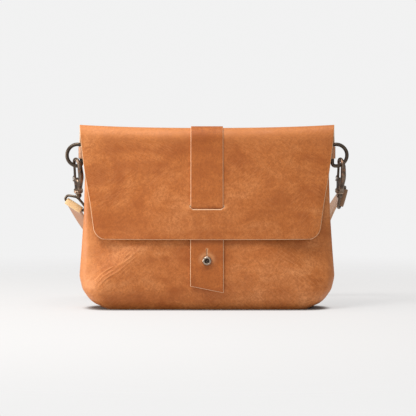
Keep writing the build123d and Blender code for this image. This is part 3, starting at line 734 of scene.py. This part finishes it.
def flap_piece():
    """Lap on the back, roll and front of the flap as one sheet, with the slot."""
    turns = np.linspace(CORNER_START, math.pi / 2, 14)
    corner = FLAP_END_Z + FLAP_CORNER * (math.cos(CORNER_START) - np.cos(turns))
    above = np.arange(corner[-1] + 1.3 * MM, HINGE.z, 1.35 * MM)
    above = above[np.abs(above - SLOT_Z) > 1.1 * MM]
    beside_slot = np.array([SLOT_Z - 0.55 * MM, SLOT_Z + 0.55 * MM])
    front_z = np.sort(np.concatenate([corner, above, beside_slot]))[-2::-1]
    back_z = np.arange(LAP_BOTTOM, HINGE.z - 1 * MM, 2.0 * MM)
    angles = np.linspace(0, math.pi, 34)
    near = np.array([0.996, 0.998])
    us = np.sort(np.concatenate([np.linspace(-1, 1, 221), near, -near]))
    rows = []
    for z in back_z:
        x = us * flap_half_width(z, True)
        rows.append(points_of(x, flap_back_y(x, z), z))
    for a in angles:
        share = a / math.pi
        half = flap_half_width(HINGE.z + 6 * MM * math.sin(a), False)
        x = us * (ROLL_BACK_HALF * (1 - share) + half * share)
        rows.append(points_of(x, *roll_section(x, a)))
    for z in front_z:
        x = us * flap_half_width(z, False)
        t = np.abs(x)
        beside = ramp(14.5, 18.6, t) * (1 - ramp(18.6, 29, t))
        lift = 2.6 * MM * beside * bell(z - SLOT_Z, 5 * MM)
        rows.append(points_of(x, flap_front_y(x, z), z + lift))
    points = np.array(rows)
    first_front = len(back_z) + len(angles)
    slot_row = first_front + int(np.argmin(np.abs(front_z - beside_slot[1])))

    x, z = points[..., 0], points[..., 2]
    on_front = np.zeros(x.shape)
    on_front[first_front:] = 1
    on_front[first_front - 10 : first_front] = np.linspace(0, 1, 10)[:, None]
    # the closure strap under the flap lifts it a little, the slot's lips part, and the side edges curl in
    band = 1 - ramp(15, 22, np.abs(x))
    under = band * (1 - ramp(-8, -1, z - SLOT_Z))
    lip = np.exp(-((x / (19 * MM)) ** 8)) * bell(z - SLOT_Z + 1.2 * MM, 3.4 * MM)
    lips = 1.0 * lip * (z > SLOT_Z) - 1.3 * lip * (z < SLOT_Z)
    curl = smoothstep(0.93, 1.0, np.abs(us))[None, :]
    points[..., 1] += on_front * MM * (lips - 0.5 * under + 0.8 * curl)

    def keep(r, c):
        return not (r == slot_row and abs(x[r, c]) < SLOT_HALF and abs(x[r, c + 1]) < SLOT_HALF)

    # pale stretch marks at both ends of the slot, a painted highlight along the top roll that weakens to the
    # right, and painted shade over the front's lower half, less towards the sides
    ends = bell(np.abs(x) - 19.5 * MM, 2.6 * MM) * bell(z - SLOT_Z - 1.5 * MM, 3.0 * MM)
    less_shade_at_sides = 0.5 * ramp(60, 120, np.abs(x))
    rub_and_highlight = 0.56 * bell(z - 192 * MM, 12 * MM) * (1 - 0.35 * ramp(0, 130, x))
    lower_front_shade = 0.42 * on_front * (1 - ramp(80, 128, z)) * (1 - less_shade_at_sides)
    wear_and_painted_light = on_front * 0.9 * ends + rub_and_highlight - lower_front_shade
    obj = leather_sheet("flap_sheet", points, "flap", flap_outward, keep=keep, wear_and_painted_light=wear_and_painted_light)
    bend_at_the_roll(obj)
    stand_in(obj, "flap_leather", "flap", "flap_lap")


def flap_outward(center):
    return Vector((0, center.y + 0.002, (center.z - HINGE.z) if center.z > HINGE.z else 0))


def closure_over():
    """The closure strap from its sewn end on the back, over the flap and through the slot."""
    offset = LEATHER + 0.15 * MM
    back_z = np.linspace(CLOSURE_BOTTOM, HINGE.z, 24, endpoint=False)
    angles = np.linspace(0, math.pi, 30, endpoint=False)
    front_z = np.linspace(HINGE.z, SLOT_Z + 2.6 * MM, 50)
    low_z = np.linspace(SLOT_Z - 9 * MM, FLAP_LOW.z + 9 * MM, 14)
    front_y = flap_front_y(0.0, front_z) - offset
    behind = flap_front_y(0.0, SLOT_Z) + LEATHER - 0.1 * MM
    through_slot = np.array([
        (front_y[-1] + 0.25 * MM, SLOT_Z + 1.2 * MM),
        (front_y[-1] + 1.9 * MM, SLOT_Z - 0.3 * MM),
        (behind - 0.6 * MM, SLOT_Z - 2.4 * MM),
        (behind - 0.2 * MM, SLOT_Z - 6.0 * MM),
    ])
    path = np.concatenate([
        np.stack([flap_back_y(0.0, back_z) + offset, back_z], 1),
        np.stack(roll_section(0.0, angles, offset), 1),
        np.stack([front_y, front_z], 1),
        through_slot,
        np.stack([tucked_y(low_z), low_z], 1),
    ])
    us = np.linspace(-1, 1, 25)
    crown = 0.25 * MM * (1 - us**2)
    rows = [points_of(us * CLOSURE_HALF, y + crown * (-1 if y < 0 else 1), z) for y, z in path]
    points = refine_edges(np.array(rows))
    obj = leather_sheet("closure_strap_over", points, "closure", flap_outward)
    bend_at_the_roll(obj)
    stand_in(obj, "closure_leather", "closure_strap", "closure_back")


def tucked_y(z):
    """Grain side of the closure strap where it lies behind the flap."""
    return flap_front_y(0.0, z) + LEATHER + 0.05 * MM


def tab_y(z):
    """Grain side of the tab: just in front of the pouch, and behind the flap's edge at its top."""
    own = -(pouch_depth(0.0, z) + LEATHER + 1.2 * MM)
    share = ramp(-7, 6, z - FLAP_LOW.z)
    return own * (1 - share) + tucked_y(z) * share


def closure_tab():
    """The closure strap's lower end: slanted, with a keyhole round the stud's waist."""
    hole = 2.7 * MM
    slit_top = STUD_Z + 12.2 * MM
    half = CLOSURE_HALF + 0.3 * MM
    near = half - np.array([0.25, 0.6]) * MM
    columns = np.sort(np.concatenate([np.linspace(-half, half, 62), near, -near]))
    shares = np.sort(np.concatenate([np.linspace(0, 1, 104), [0.9915, 0.9965]]))
    top = FLAP_LOW.z + 12 * MM
    low_edge = np.interp(columns, [columns[0], columns[-1]], [TAB_LOW.z + 8.6 * MM, TAB_LOW.z + 1.6 * MM])
    z = top + (low_edge[None, :] - top) * shares[:, None]
    x = np.broadcast_to(columns, z.shape)
    away = np.hypot(x, z - STUD_Z)
    curl = smoothstep(0.72, 1.0, np.abs(x) / CLOSURE_HALF) * smoothstep(slit_top, TAB_LOW.z, z)
    noise = value_noise(x / (14 * MM), z / (18 * MM), 61)
    y = tab_y(z) + MM * (0.55 * bell(away, 6.5 * MM) - 0.405 * curl - 0.3 * noise)
    points = points_of(x, y, z)

    def keep(r, c):
        cx = (x[r, c] + x[r, c + 1]) / 2
        cz = (z[r, c] + z[r + 1, c]) / 2
        in_slit = abs(cx) < 0.35 * MM and STUD_Z < cz < slit_top
        return not (math.hypot(cx, cz - STUD_Z) < hole or in_slit)

    halo = 0.62 * bell(away - 6.3 * MM, 2.6 * MM) * ramp(-8, 6, z - STUD_Z)
    # painted shadow on the tab under the flap's lower edge
    painted_shadow_under_flap = 0.8 * ramp(-9, -1, z - FLAP_LOW.z)
    slit_end = 0.8 * bell(x, 1.5 * MM) * bell(z - slit_top, 1.5 * MM)
    wear_and_painted_light = halo + slit_end - painted_shadow_under_flap
    forward = Vector((0, -1, 0))
    obj = leather_sheet("closure_tab_sheet", points, "closure", lambda c: forward, keep=keep, wear_and_painted_light=wear_and_painted_light)
    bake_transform(obj)
    stand_in(obj, "closure_leather", "closure_tab")


# ---- stud, rings and their leather loops

# radius and height in millimetres, like all profiles
STUD_PROFILE = [
    (1.4, 0), (3.0, 0), (3.0, 0.25), (2.0, 0.4), (2.0, 2.4), (2.9, 2.6), (4.1, 2.9), (4.75, 3.4), (5.0, 4.1),
    (4.85, 4.9), (4.4, 5.6), (3.7, 6.1), (3.1, 6.3), (2.75, 6.2), (2.5, 5.9), (2.2, 5.5), (1.4, 5.2),
    (0.6, 5.1), (0.1, 5.1),
]


def stud_button():
    """Ball stud with a dished centre; the dark metal in the dish is a painted reflection."""
    obj = lathe("stud_button", STUD_PROFILE, (0, STUD_HIGH.y, STUD_Z), (0, -1, 0), metal["nickel_stud"], 56)
    obj.data.materials.append(metal["brass_dark"])
    # painted reflection: the dished centre takes the dark brass
    for p in obj.data.polygons:
        off = p.center - Vector((0, STUD_LOW.y, STUD_Z))
        if math.hypot(off.x, off.z) < 2.7 * MM and off.y < 2.6 * MM:
            p.material_index = 1
    place(obj, "bag", "stud_metal", "stud")


def ring_piece(name, side):
    """The D-ring as one smooth bent wire: a rounded bar and a bow."""
    low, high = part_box(f"d_ring_{name}")
    wire = (high.y - low.y) / 2
    z0, z1 = low.z + wire, high.z - wire
    bow = (z1 - z0) / 2
    bow_x = max(abs(low.x), abs(high.x)) - wire - bow
    bar_x = abs(joints[f"ring_{name}_swing"]["pos_m"][0])
    corner = 3.2 * MM
    path = arc(bar_x + corner, z0 + corner, corner, 180, 270, 7)[:-1]
    path += arc(bow_x, (z0 + z1) / 2, bow, -90, 90, 31)
    path += arc(bar_x + corner, z1 - corner, corner, 90, 180, 7)[1:]
    path += [(bar_x, z) for z in np.linspace(z1 - corner, z0 + corner, 12)[1:-1]]
    points = [(side * x, 0, z) for x, z in path]
    obj = tube(f"ring_{name}_wire", points, wire, metal["brass_dark"], closed=True, count=24)
    place(obj, f"ring_{name}", "antique_brass", f"d_ring_{name}")


def chape_piece(name, side):
    """The leather loop round the ring's bar, its ends in the side seam."""
    low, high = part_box(f"chape_{name}")
    bar_x = abs(joints[f"ring_{name}_swing"]["pos_m"][0])
    inner_x = min(abs(low.x), abs(high.x))
    thick = 1.3 * MM
    layer = [(inner_x, thick), (inner_x + 6 * MM, thick + 0.05 * MM), (bar_x - 5 * MM, thick + 0.5 * MM)]
    path = [(x, -y) for x, y in layer] + arc(bar_x, 0, (high.y - low.y) / 2, -108, 108, 19) + layer[::-1]
    path = arc_resample(np.array(path), 60)
    zs = np.linspace(low.z, high.z, 15)
    points = points_of(side * path[:, :1], path[:, 1:], zs[None, :])
    middle_x = side * (bar_x - 6 * MM)
    obj = leather_sheet(
        f"chape_{name}_loop",
        refine_edges(points),
        "chape",
        lambda c: Vector((c.x - middle_x, c.y * 3, 0)),
        thickness=thick,
        edge=edge_strap,
    )
    place(obj, "bag", "chape_leather", f"chape_{name}")


# ---- snap hooks

HOOK_ARCH = 6.5 * MM
HOOK_WIRE = 1.55 * MM
GATE_PIVOT = np.array((5.4, -21.5)) * MM
EYE_BAR = 13 * MM
EYE_SPAN = np.array((-10.6, 13.2)) * MM
EYE_WIRE = 1.4 * MM
BALL_Y = -38.2 * MM
LUG_TOP = -17.4 * MM


class Placed:
    """A local frame: x, y and z directions at an origin."""

    def __init__(self, origin, x, y):
        self.origin = np.array(origin, float)
        self.x, self.y = unit(x), unit(y)
        self.z = np.cross(self.x, self.y)

    def at(self, x, y, z=0.0):
        return self.origin + self.x * x + self.y * y + self.z * z

    def loft(self, name, sections, material, count):
        """A skin through rows of height, centre shift, half width, half thickness (mm) and squareness."""
        rings = []
        for y, shift, rx, rz, power in sections:
            outline = superellipse(count, rx * MM, rz * MM, power)
            rings.append(np.array([self.at(shift * MM + a, y * MM, b) for a, b in outline]))
        return skin(name, rings, material)


def hook_frame(name):
    """x to the gate, y to the ring, z across, from the hook's swivel and its gate's hinge."""
    swivel = joints[f"hook_{name}_swivel"]
    up = -np.array(swivel["axis"])
    across = np.array(joints[f"gate_{name}_press"]["axis"])
    return Placed(swivel["pos_m"], np.cross(up, across), up)


# height, centre shift, half width, half thickness, squareness, in the hook's frame
HOUSING_SECTIONS = [
    (-16.2, -2.9, 1.6, 1.2, 2.2),
    (-16.8, -1.9, 3.6, 2.0, 2.4),
    (-18.0, -0.9, 5.4, 2.5, 2.6),
    (-19.5, -0.1, 6.4, 2.8, 2.8),
    (-22.0, 0.2, 6.2, 3.0, 2.8),
    (-24.5, 0.2, 5.5, 3.1, 2.6),
    (-27.0, 0.1, 4.8, 3.3, 2.4),
    (-29.3, 0.0, 4.3, 3.6, 2.2),
    (-31.0, 0.0, 4.1, 3.8, 2.0),
]
GATE_SECTIONS = [
    (-3.2, 6.55, 0.95, 1.1, 2.6),
    (-3.6, 6.55, 1.25, 1.3, 2.8),
    (-6.0, 6.50, 1.25, 1.2, 3.0),
    (-12.0, 6.45, 1.25, 1.2, 3.0),
    (-16.5, 6.50, 1.35, 1.2, 3.0),
    (-18.2, 7.4, 2.0, 1.5, 3.0),
    (-19.6, 8.3, 2.1, 1.7, 3.0),
    (-21.6, 8.3, 2.0, 1.7, 3.0),
    (-23.6, 7.5, 1.6, 1.5, 2.8),
    (-24.6, 6.7, 0.9, 1.0, 2.4),
]
SPINE = [
    (-6.7, -2), (-7.2, -5), (-7.7, -8), (-7.7, -11), (-7.2, -14),
    (-6.3, -17), (-5.3, -20), (-4.4, -23), (-3.6, -26), (-3.1, -29),
]
# thickness of the hook's wire along its length, in times HOOK_WIRE
SPINE_GROWTH = [(0, 0.80), (0.05, 1.0), (0.2, 1.05), (0.5, 1.15), (0.65, 1.5), (0.82, 1.75), (1, 1.6)]
COLLAR_PROFILE = [
    (1.75, 0), (4.2, 0), (4.7, 0.2), (4.95, 0.6), (4.95, 1.2), (4.6, 1.5), (4.6, 1.8), (4.95, 2.1),
    (4.95, 2.9), (4.6, 3.6), (3.8, 4.1), (1.75, 4.2),
]


def hook_piece(name):
    """Arch and spine flowing into the slotted housing, with a grooved collar."""
    f = hook_frame(name)
    path = [(HOOK_ARCH, -2.6 * MM), (HOOK_ARCH, -1.2 * MM)]
    path += arc(0, 0, HOOK_ARCH, 0, 180, 25) + scaled_pairs(SPINE)
    grow = np.interp(np.linspace(0, 1, len(path)), *zip(*SPINE_GROWTH))
    brass = metal["brass_worn"]
    line = [f.at(x, y) for x, y in path]
    arch = tube("arch", line, HOOK_WIRE * grow, brass, flat=1.05, across=f.z, power=2.4, count=24)
    housing = f.loft("housing", HOUSING_SECTIONS, brass, 32)
    collar = lathe("collar", COLLAR_PROFILE, f.at(0, -30.3 * MM), -f.y, brass, 44)
    obj = join(f"hook_{name}_cast", [arch, housing, collar])
    place(obj, f"hook_{name}", "antique_brass", f"hook_{name}", f"gate_spring_{name}")


def gate_piece(name):
    """The gate bar with its thumb lug."""
    f = hook_frame(name)
    obj = f.loft(f"gate_{name}_bar", GATE_SECTIONS, metal["brass_dark"], 24)
    obj.data.materials.append(metal["steel_lever"])
    for p in obj.data.polygons:
        height = (np.array(p.center) - f.origin).dot(f.y)
        p.material_index = 1 if height < LUG_TOP else 0
    soften(obj, 0.15 * MM)
    place(obj, f"gate_{name}", "antique_brass", f"gate_{name}")


def gate_pin_piece(name):
    """The peened pivot pin, standing a little proud of both cheeks."""
    f = hook_frame(name)
    end = [(0.8, 3.15), (0.55, 3.25), (0.0, 3.3)]
    profile = [(r, -h) for r, h in end[::-1]] + end
    obj = lathe(f"gate_pin_{name}_turned", profile, f.at(*GATE_PIVOT), f.z, metal["brass_dark"], 20)
    place(obj, f"hook_{name}", "steel_pin", f"gate_pin_{name}")


# direction of the eye's bar, from the ball to the bar, and in which the strap leaves it
EYES = {
    "left": ((0.839, 0.0, -0.545), (-0.512, 0.342, -0.788), (-0.065, 0.993, -0.1)),
    "right": ((-0.270, 0.0, -0.963), (0.355, 0.930, -0.100), (0.0, 1.0, 0.0)),
}


def eye_frame(name):
    """Origin at the ball, x along the bar, y from the ball to the bar."""
    along, out, _ = (np.array(v) for v in EYES[name])
    along = unit(along)
    return Placed(hook_frame(name).at(0, BALL_Y), along, out - along * out.dot(along))


def fold_frame(name):
    """Origin at the strap's middle on the bar, x along the bar, y the way the strap leaves."""
    eye = eye_frame(name)
    leave = np.array(EYES[name][2])
    return Placed(eye.at(EYE_SPAN.mean(), EYE_BAR), eye.x, leave - eye.x * leave.dot(eye.x))


def eye_piece(name):
    """Wire loop, ball and stem of the swivel."""
    f, h = eye_frame(name), hook_frame(name)
    brass = metal["brass_dark"]
    lo, hi = EYE_SPAN
    foot = 1.5 * MM
    corners = [(-foot, 2 * foot), (lo, 7 * MM), (lo, EYE_BAR), (hi, EYE_BAR), (hi, 7 * MM), (foot, 2 * foot)]
    path = round_path([f.at(x, y) for x, y in corners], 3.4 * MM)
    loop = tube("loop", path, EYE_WIRE, brass, closed=True)
    ball = lathe("ball", arc(0, 0, 3.3, -90, 90, 17), f.origin, h.y, brass, 32)
    stem = tube("stem", [h.at(0, y) for y in (BALL_Y, -33 * MM, -28.5 * MM)], 1.6 * MM, brass)
    obj = join(f"swivel_eye_{name}_wire", [loop, ball, stem])
    place(obj, "strap", "antique_brass", f"swivel_eye_{name}")


# ---- shoulder strap

STRAP_WIDTH = 19.5 * MM
FOLD_LENGTH = 26 * MM
RIVET_AT = 10 * MM
GROUND_Z = (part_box("strap_stud")[0].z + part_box("strap_stud")[1].z) / 2
STRAP_SPAN = 98 * MM
BEND_Y, BEND_DEPTH = 245 * MM, 100 * MM
STRAIGHT_Y = 178 * MM
DOWN = np.array((0, 0, -1.0))


def fold_run(name, ends_outside):
    """Centre line and width directions of the strap's end: back layer, round the bar, front layer."""
    f = fold_frame(name)
    layer = STRAP_LEATHER / 2 + 0.06 * MM
    bend = EYE_WIRE + 0.2 * MM + STRAP_LEATHER / 2
    tip = FOLD_LENGTH - 1.0 * MM
    front = [(3.4 * MM, bend * 0.92), (8 * MM, layer + 0.15 * MM), (tip * 0.6, layer), (tip, layer)]
    line = [(a, -b) for a, b in front[::-1]]
    line += [(-bend * math.cos(a), bend * math.sin(a)) for a in np.linspace(-1.35, 1.35, 13)]
    line += front
    side = -1 if ends_outside else 1
    return [(f.at(0, a, b * side), f.x) for a, b in line]


def descent(name, ground_x, steps=34):
    """From the fold down to the ground behind the bag, turning on to its edge."""
    f = fold_frame(name)
    start = f.at(0, FOLD_LENGTH + 4 * MM)
    end = np.array((ground_x, STRAIGHT_Y, GROUND_Z))
    reach = np.linalg.norm(end - start)
    lead, land = f.y * 0.38 * reach, np.array((0, -0.42 * reach, 0))
    run = []
    for t in np.linspace(0, 1, steps)[1:]:
        a, b, c, d = (1 - t) ** 3, 3 * t * (1 - t) ** 2, 3 * t * t * (1 - t), t**3
        centre = start * a + (start + lead) * b + (end + land) * c + end * d
        turn = smoothstep(0, 1, t)
        run.append((centre, unit(f.x * (1 - turn) + DOWN * turn)))
    return run


def strap_section(centre, tangent, width_way, taper):
    """Points round the strap: grain side, edge, flesh side, edge."""
    across = unit(width_way - tangent * np.dot(width_way, tangent))
    out = np.cross(across, tangent)
    half, thick = STRAP_WIDTH / 2 * taper, STRAP_LEATHER / 2
    us = np.array([-1, -0.93, -0.6, 0, 0.6, 0.93, 1])
    crown = np.array([0.62, 0.9, 1.0, 1.04, 1.0, 0.9, 0.62])
    face = [centre + across * half * u + out * thick * c for u, c in zip(us, crown)]
    back = [centre + across * half * u - out * thick * c for u, c in zip(us[::-1], crown)]
    return np.array(face + back)


def ribbon(name, stations, materials, tip, spacing=1.6 * MM):
    """A leather strap through stations of centre and width direction. tip is its rounded end's length."""
    centres, ways = (np.array(column) for column in zip(*stations))
    along = lengths_along(centres)
    count = int(along[-1] / spacing)
    at = np.linspace(0, along[-1], count)
    centre, way = interpolated(at, along, centres), interpolated(at, along, ways)
    for _ in range(2):
        centre[1:-1] = 0.25 * centre[:-2] + 0.5 * centre[1:-1] + 0.25 * centre[2:]
    tangents = np.gradient(centre, axis=0)
    rings = []
    for k in range(count):
        left = min((along[-1] - at[k]) / tip, 1)
        taper = math.sqrt(max(1 - (1 - left) ** 2, 0.02))
        rings.append(strap_section(centre[k], unit(tangents[k]), way[k], taper))
    faces = grid_faces(count, len(rings[0]), wrap=True) + end_caps(rings)
    slots = ([0] * 6 + [2] + [1] * 6 + [2]) * (count - 1) + [2, 2]
    obj = new_object(name, np.concatenate(rings), faces, materials, slots)
    face_outward(obj)
    return obj


def strap_pieces():
    """Both parts of the shoulder strap. They overlap at the size stud."""
    outer_x = STRAP_SPAN + STRAP_LEATHER + 0.3 * MM
    spots = [
        (STRAP_SPAN * math.cos(a), BEND_Y + BEND_DEPTH * math.sin(a)) for a in np.linspace(math.pi, 0.1, 70)
    ]
    spots += [(STRAP_SPAN + 0.8 * MM, BEND_Y + 1 * MM), (outer_x, BEND_Y - 14 * MM), (outer_x, 177 * MM)]
    long_run = fold_run("left", False) + descent("left", -STRAP_SPAN)
    long_run += [(np.array((x, y, GROUND_Z)), DOWN) for x, y in spots]
    short_run = fold_run("right", True) + descent("right", STRAP_SPAN)
    short_run.append((np.array((STRAP_SPAN, BEND_Y - 26 * MM, GROUND_Z)), DOWN))
    for name, run, back, tip, hook in (
        ("long", long_run, flesh_strap, 9 * MM, "left"),
        ("short", short_run, flesh_shaded, 7 * MM, "right"),
    ):
        obj = ribbon(f"strap_{name}_ribbon", run, [leather["strap"], back, edge_strap], tip)
        bar_y = fold_frame(hook).origin[1]
        y = np.array([v.co.y for v in obj.data.vertices])
        store_value(obj, "wear_and_painted_light", 1.0 - ramp(5, 15, np.abs(y - bar_y)))
        place(obj, "strap", "strap_leather", f"strap_{name}")


def rivet_piece(name):
    """Domed caps on both sides of the fold."""
    f = fold_frame(name)
    top = STRAP_LEATHER / MM + 0.1
    cap = [(4.4, 0.0), (4.4, 0.35), (4.1, 0.75), (3.2, 1.1), (1.8, 1.3), (0, 1.36)]
    half = [(1.6, top)] + [(r, top + h) for r, h in cap]
    profile = [(r, -h) for r, h in half[::-1]] + half
    obj = lathe(f"rivet_{name}_caps", profile, f.at(0, RIVET_AT), f.z, metal["rivet_grey"], 36)
    place(obj, "strap", "stud_metal", f"strap_rivet_{name}")


# ---- CAD nodes that keep their shape


def dress(node, material, width):
    """Gives a CAD node its material and rounded edges."""
    obj = nodes[node]
    obj.data.materials.clear()
    obj.data.materials.append(material)
    store_rest(obj)
    soften(obj, width)


def bent_thread(name, node):
    """Stitches: short plump loops that dip into the leather at both ends, one for each CAD stitch."""
    made = []
    for low, high in islands(nodes[node]):
        middle = (low + high) / 2
        out = math.copysign(1, middle.y)
        half = (high.x - low.x) / 2
        # along the stitch, and out of the leather
        corners = [(-half, -MM), (-half, 0.05 * MM), (0, 0.12 * MM), (half, 0.05 * MM), (half, -MM)]
        path = [(middle.x + a, middle.y + out * b, middle.z) for a, b in corners]
        line = round_path(path, 0.8 * MM, 4, closed=False)
        made.append(tube("stitch", line, 0.42 * MM, thread_tan, count=8))
    place(join(name, made), "bag", "thread", node)


def seam_stitches():
    """Slanted stitches that draw the two panels together along both side seams."""
    low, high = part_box("seam_thread")
    made = []
    for side in (-1, 1):
        for z in np.arange(low.z + 1 * MM, high.z - 4 * MM, SEAM_PITCH):
            t = np.linspace(-1, 1, 7)
            height = z + 1.6 * MM * (1 + t)
            y = 2.5 * MM * t
            half = smooth_curve(height, POUCH_Z, POUCH_HALF, 3 * MM)
            deep = smooth_curve(height, POUCH_Z, POUCH_SIDE)
            end = np.minimum(9 * MM, deep)
            x = half - end * (1 - np.sqrt(np.maximum(1 - (y / deep) ** 2, 0))) - 0.42 * MM
            path = points_of(side * (x - 0.9 * MM * t**8), y, height)
            made.append(tube("stitch", path, 0.30 * MM, thread_tan, count=8))
    place(join("seam_stitches", made), "bag", "thread", "seam_thread")


def islands(obj):
    """Boxes of the separate solids in a CAD node."""
    work = bmesh.new()
    work.from_mesh(obj.data)
    bmesh.ops.remove_doubles(work, verts=work.verts, dist=1e-6)
    left = set(work.verts)
    boxes = []
    while left:
        stack = [left.pop()]
        group = list(stack)
        while stack:
            for e in stack.pop().link_edges:
                for v in e.verts:
                    if v in left:
                        left.discard(v)
                        stack.append(v)
                        group.append(v)
        co = np.array([v.co for v in group])
        boxes.append((Vector(co.min(0)), Vector(co.max(0))))
    work.free()
    return sorted(boxes, key=lambda b: tuple(b[0]))


# ---- light, floor and camera

WORLD_LIGHT = 0.41
BACKDROP = 0.885
FLOOR_GLOW = 0.535
LIT_SPOT = Vector((0, 0, 90 * MM))
LIGHTS = [  # name, place, size in metres, watts, colour
    ("key", (-0.42, -0.44, 0.90), 0.45, 6.0, (1.0, 0.985, 0.96)),
    ("left_rim", (-1.5, -0.1, 0.22), 0.8, 17, (1.0, 0.97, 0.93)),
    ("top", (0.0, -0.10, 1.25), 0.8, 5, (1.0, 0.99, 0.98)),
    ("front_fill", (0.2, -2.2, 0.5), 1.6, 4, (1.0, 0.99, 0.98)),
]
CAMERA_TARGET = Vector((1.1 * MM, 0, 107 * MM))
CAMERA_DISTANCE = 1.7
CAMERA_PITCH = 2.0
SENSOR = 36
FIELD_WIDTH = 0.4451


def studio_world():
    """White surroundings that look brighter to the camera than they light the bag."""
    world = bpy.data.worlds.new("studio")
    world.use_nodes = True
    tree = world.node_tree
    ray = tree.nodes.new("ShaderNodeLightPath")
    pick = tree.nodes.new("ShaderNodeMapRange")
    pick.inputs["To Min"].default_value = WORLD_LIGHT
    pick.inputs["To Max"].default_value = BACKDROP
    background = tree.nodes["Background"]
    background.inputs["Color"].default_value = (1, 1, 1, 1)
    tree.links.new(ray.outputs["Is Camera Ray"], pick.inputs["Value"])
    tree.links.new(pick.outputs[0], background.inputs["Strength"])
    return world


def floor_paper():
    """Paper with a soft contact shadow. It glows a little, and fades into the backdrop far from the bag."""
    s = Shader("floor_paper")
    occlusion = s.node("ShaderNodeAmbientOcclusion", {"Distance": 14 * MM}, samples=16).outputs["AO"]
    glow = s.node("ShaderNodeEmission", {"Strength": s.remap(occlusion, 0.42, 0.97, 0.0, FLOOR_GLOW)})
    diffuse = s.node("ShaderNodeBsdfDiffuse", {"Color": (0.30, 0.293, 0.29, 1)})
    paper = s.node("ShaderNodeAddShader", {0: diffuse.outputs[0], 1: glow.outputs[0]})
    spot = s.node("ShaderNodeTexCoord").outputs["Object"]
    distance = s.node("ShaderNodeVectorMath", {0: spot}, operation="LENGTH").outputs["Value"]
    clear = s.node("ShaderNodeBsdfTransparent")
    shares = {0: s.remap(distance, 0.30, 0.95), 1: paper.outputs[0], 2: clear.outputs[0]}
    return s.output(s.node("ShaderNodeMixShader", shares).outputs[0])


def stage():
    """Pale floor that fades into the backdrop, a soft key from the upper left, and the camera."""
    scene = bpy.context.scene
    scene.view_settings.view_transform = "Standard"
    scene.world = studio_world()

    bpy.ops.mesh.primitive_plane_add(size=6)
    floor = bpy.context.object
    floor.name = "floor"
    floor.data.materials.append(floor_paper())

    for name, spot, size, power, color in LIGHTS:
        data = bpy.data.lights.new(name, "AREA")
        data.shape = "DISK"
        data.size = size
        data.energy = power
        data.color = color
        light = bpy.data.objects.new(name, data)
        light.location = spot
        light.rotation_euler = (LIT_SPOT - Vector(spot)).to_track_quat("-Z", "Y").to_euler()
        scene.collection.objects.link(light)

    data = bpy.data.cameras.new("camera")
    data.sensor_width = SENSOR
    data.lens = SENSOR * CAMERA_DISTANCE / FIELD_WIDTH
    data.clip_end = 20
    camera = bpy.data.objects.new("camera", data)
    pitch = math.radians(CAMERA_PITCH)
    back = Vector((0, -math.cos(pitch), math.sin(pitch)))
    camera.location = CAMERA_TARGET + back * CAMERA_DISTANCE
    camera.rotation_euler = (math.pi / 2 - pitch, 0, 0)
    scene.collection.objects.link(camera)
    scene.camera = camera


# ---- build

pouch_panel("front", -1)
pouch_panel("back", 1)
flap_piece()
closure_over()
closure_tab()
stud_button()
for name, side in (("left", -1), ("right", 1)):
    ring_piece(name, side)
    chape_piece(name, side)
    hook_piece(name)
    gate_piece(name)
    gate_pin_piece(name)
    eye_piece(name)
    rivet_piece(name)
strap_pieces()
bent_thread("lap_stitches", "lap_thread")
bent_thread("closure_stitches", "closure_thread")
seam_stitches()
dress("stud_screw", metal["brass_dark"], 0.2 * MM)
dress("strap_stud", metal["nickel_stud"], 0.15 * MM)
dress("strap_keeper", leather["strap"], 0.3 * MM)
stage()
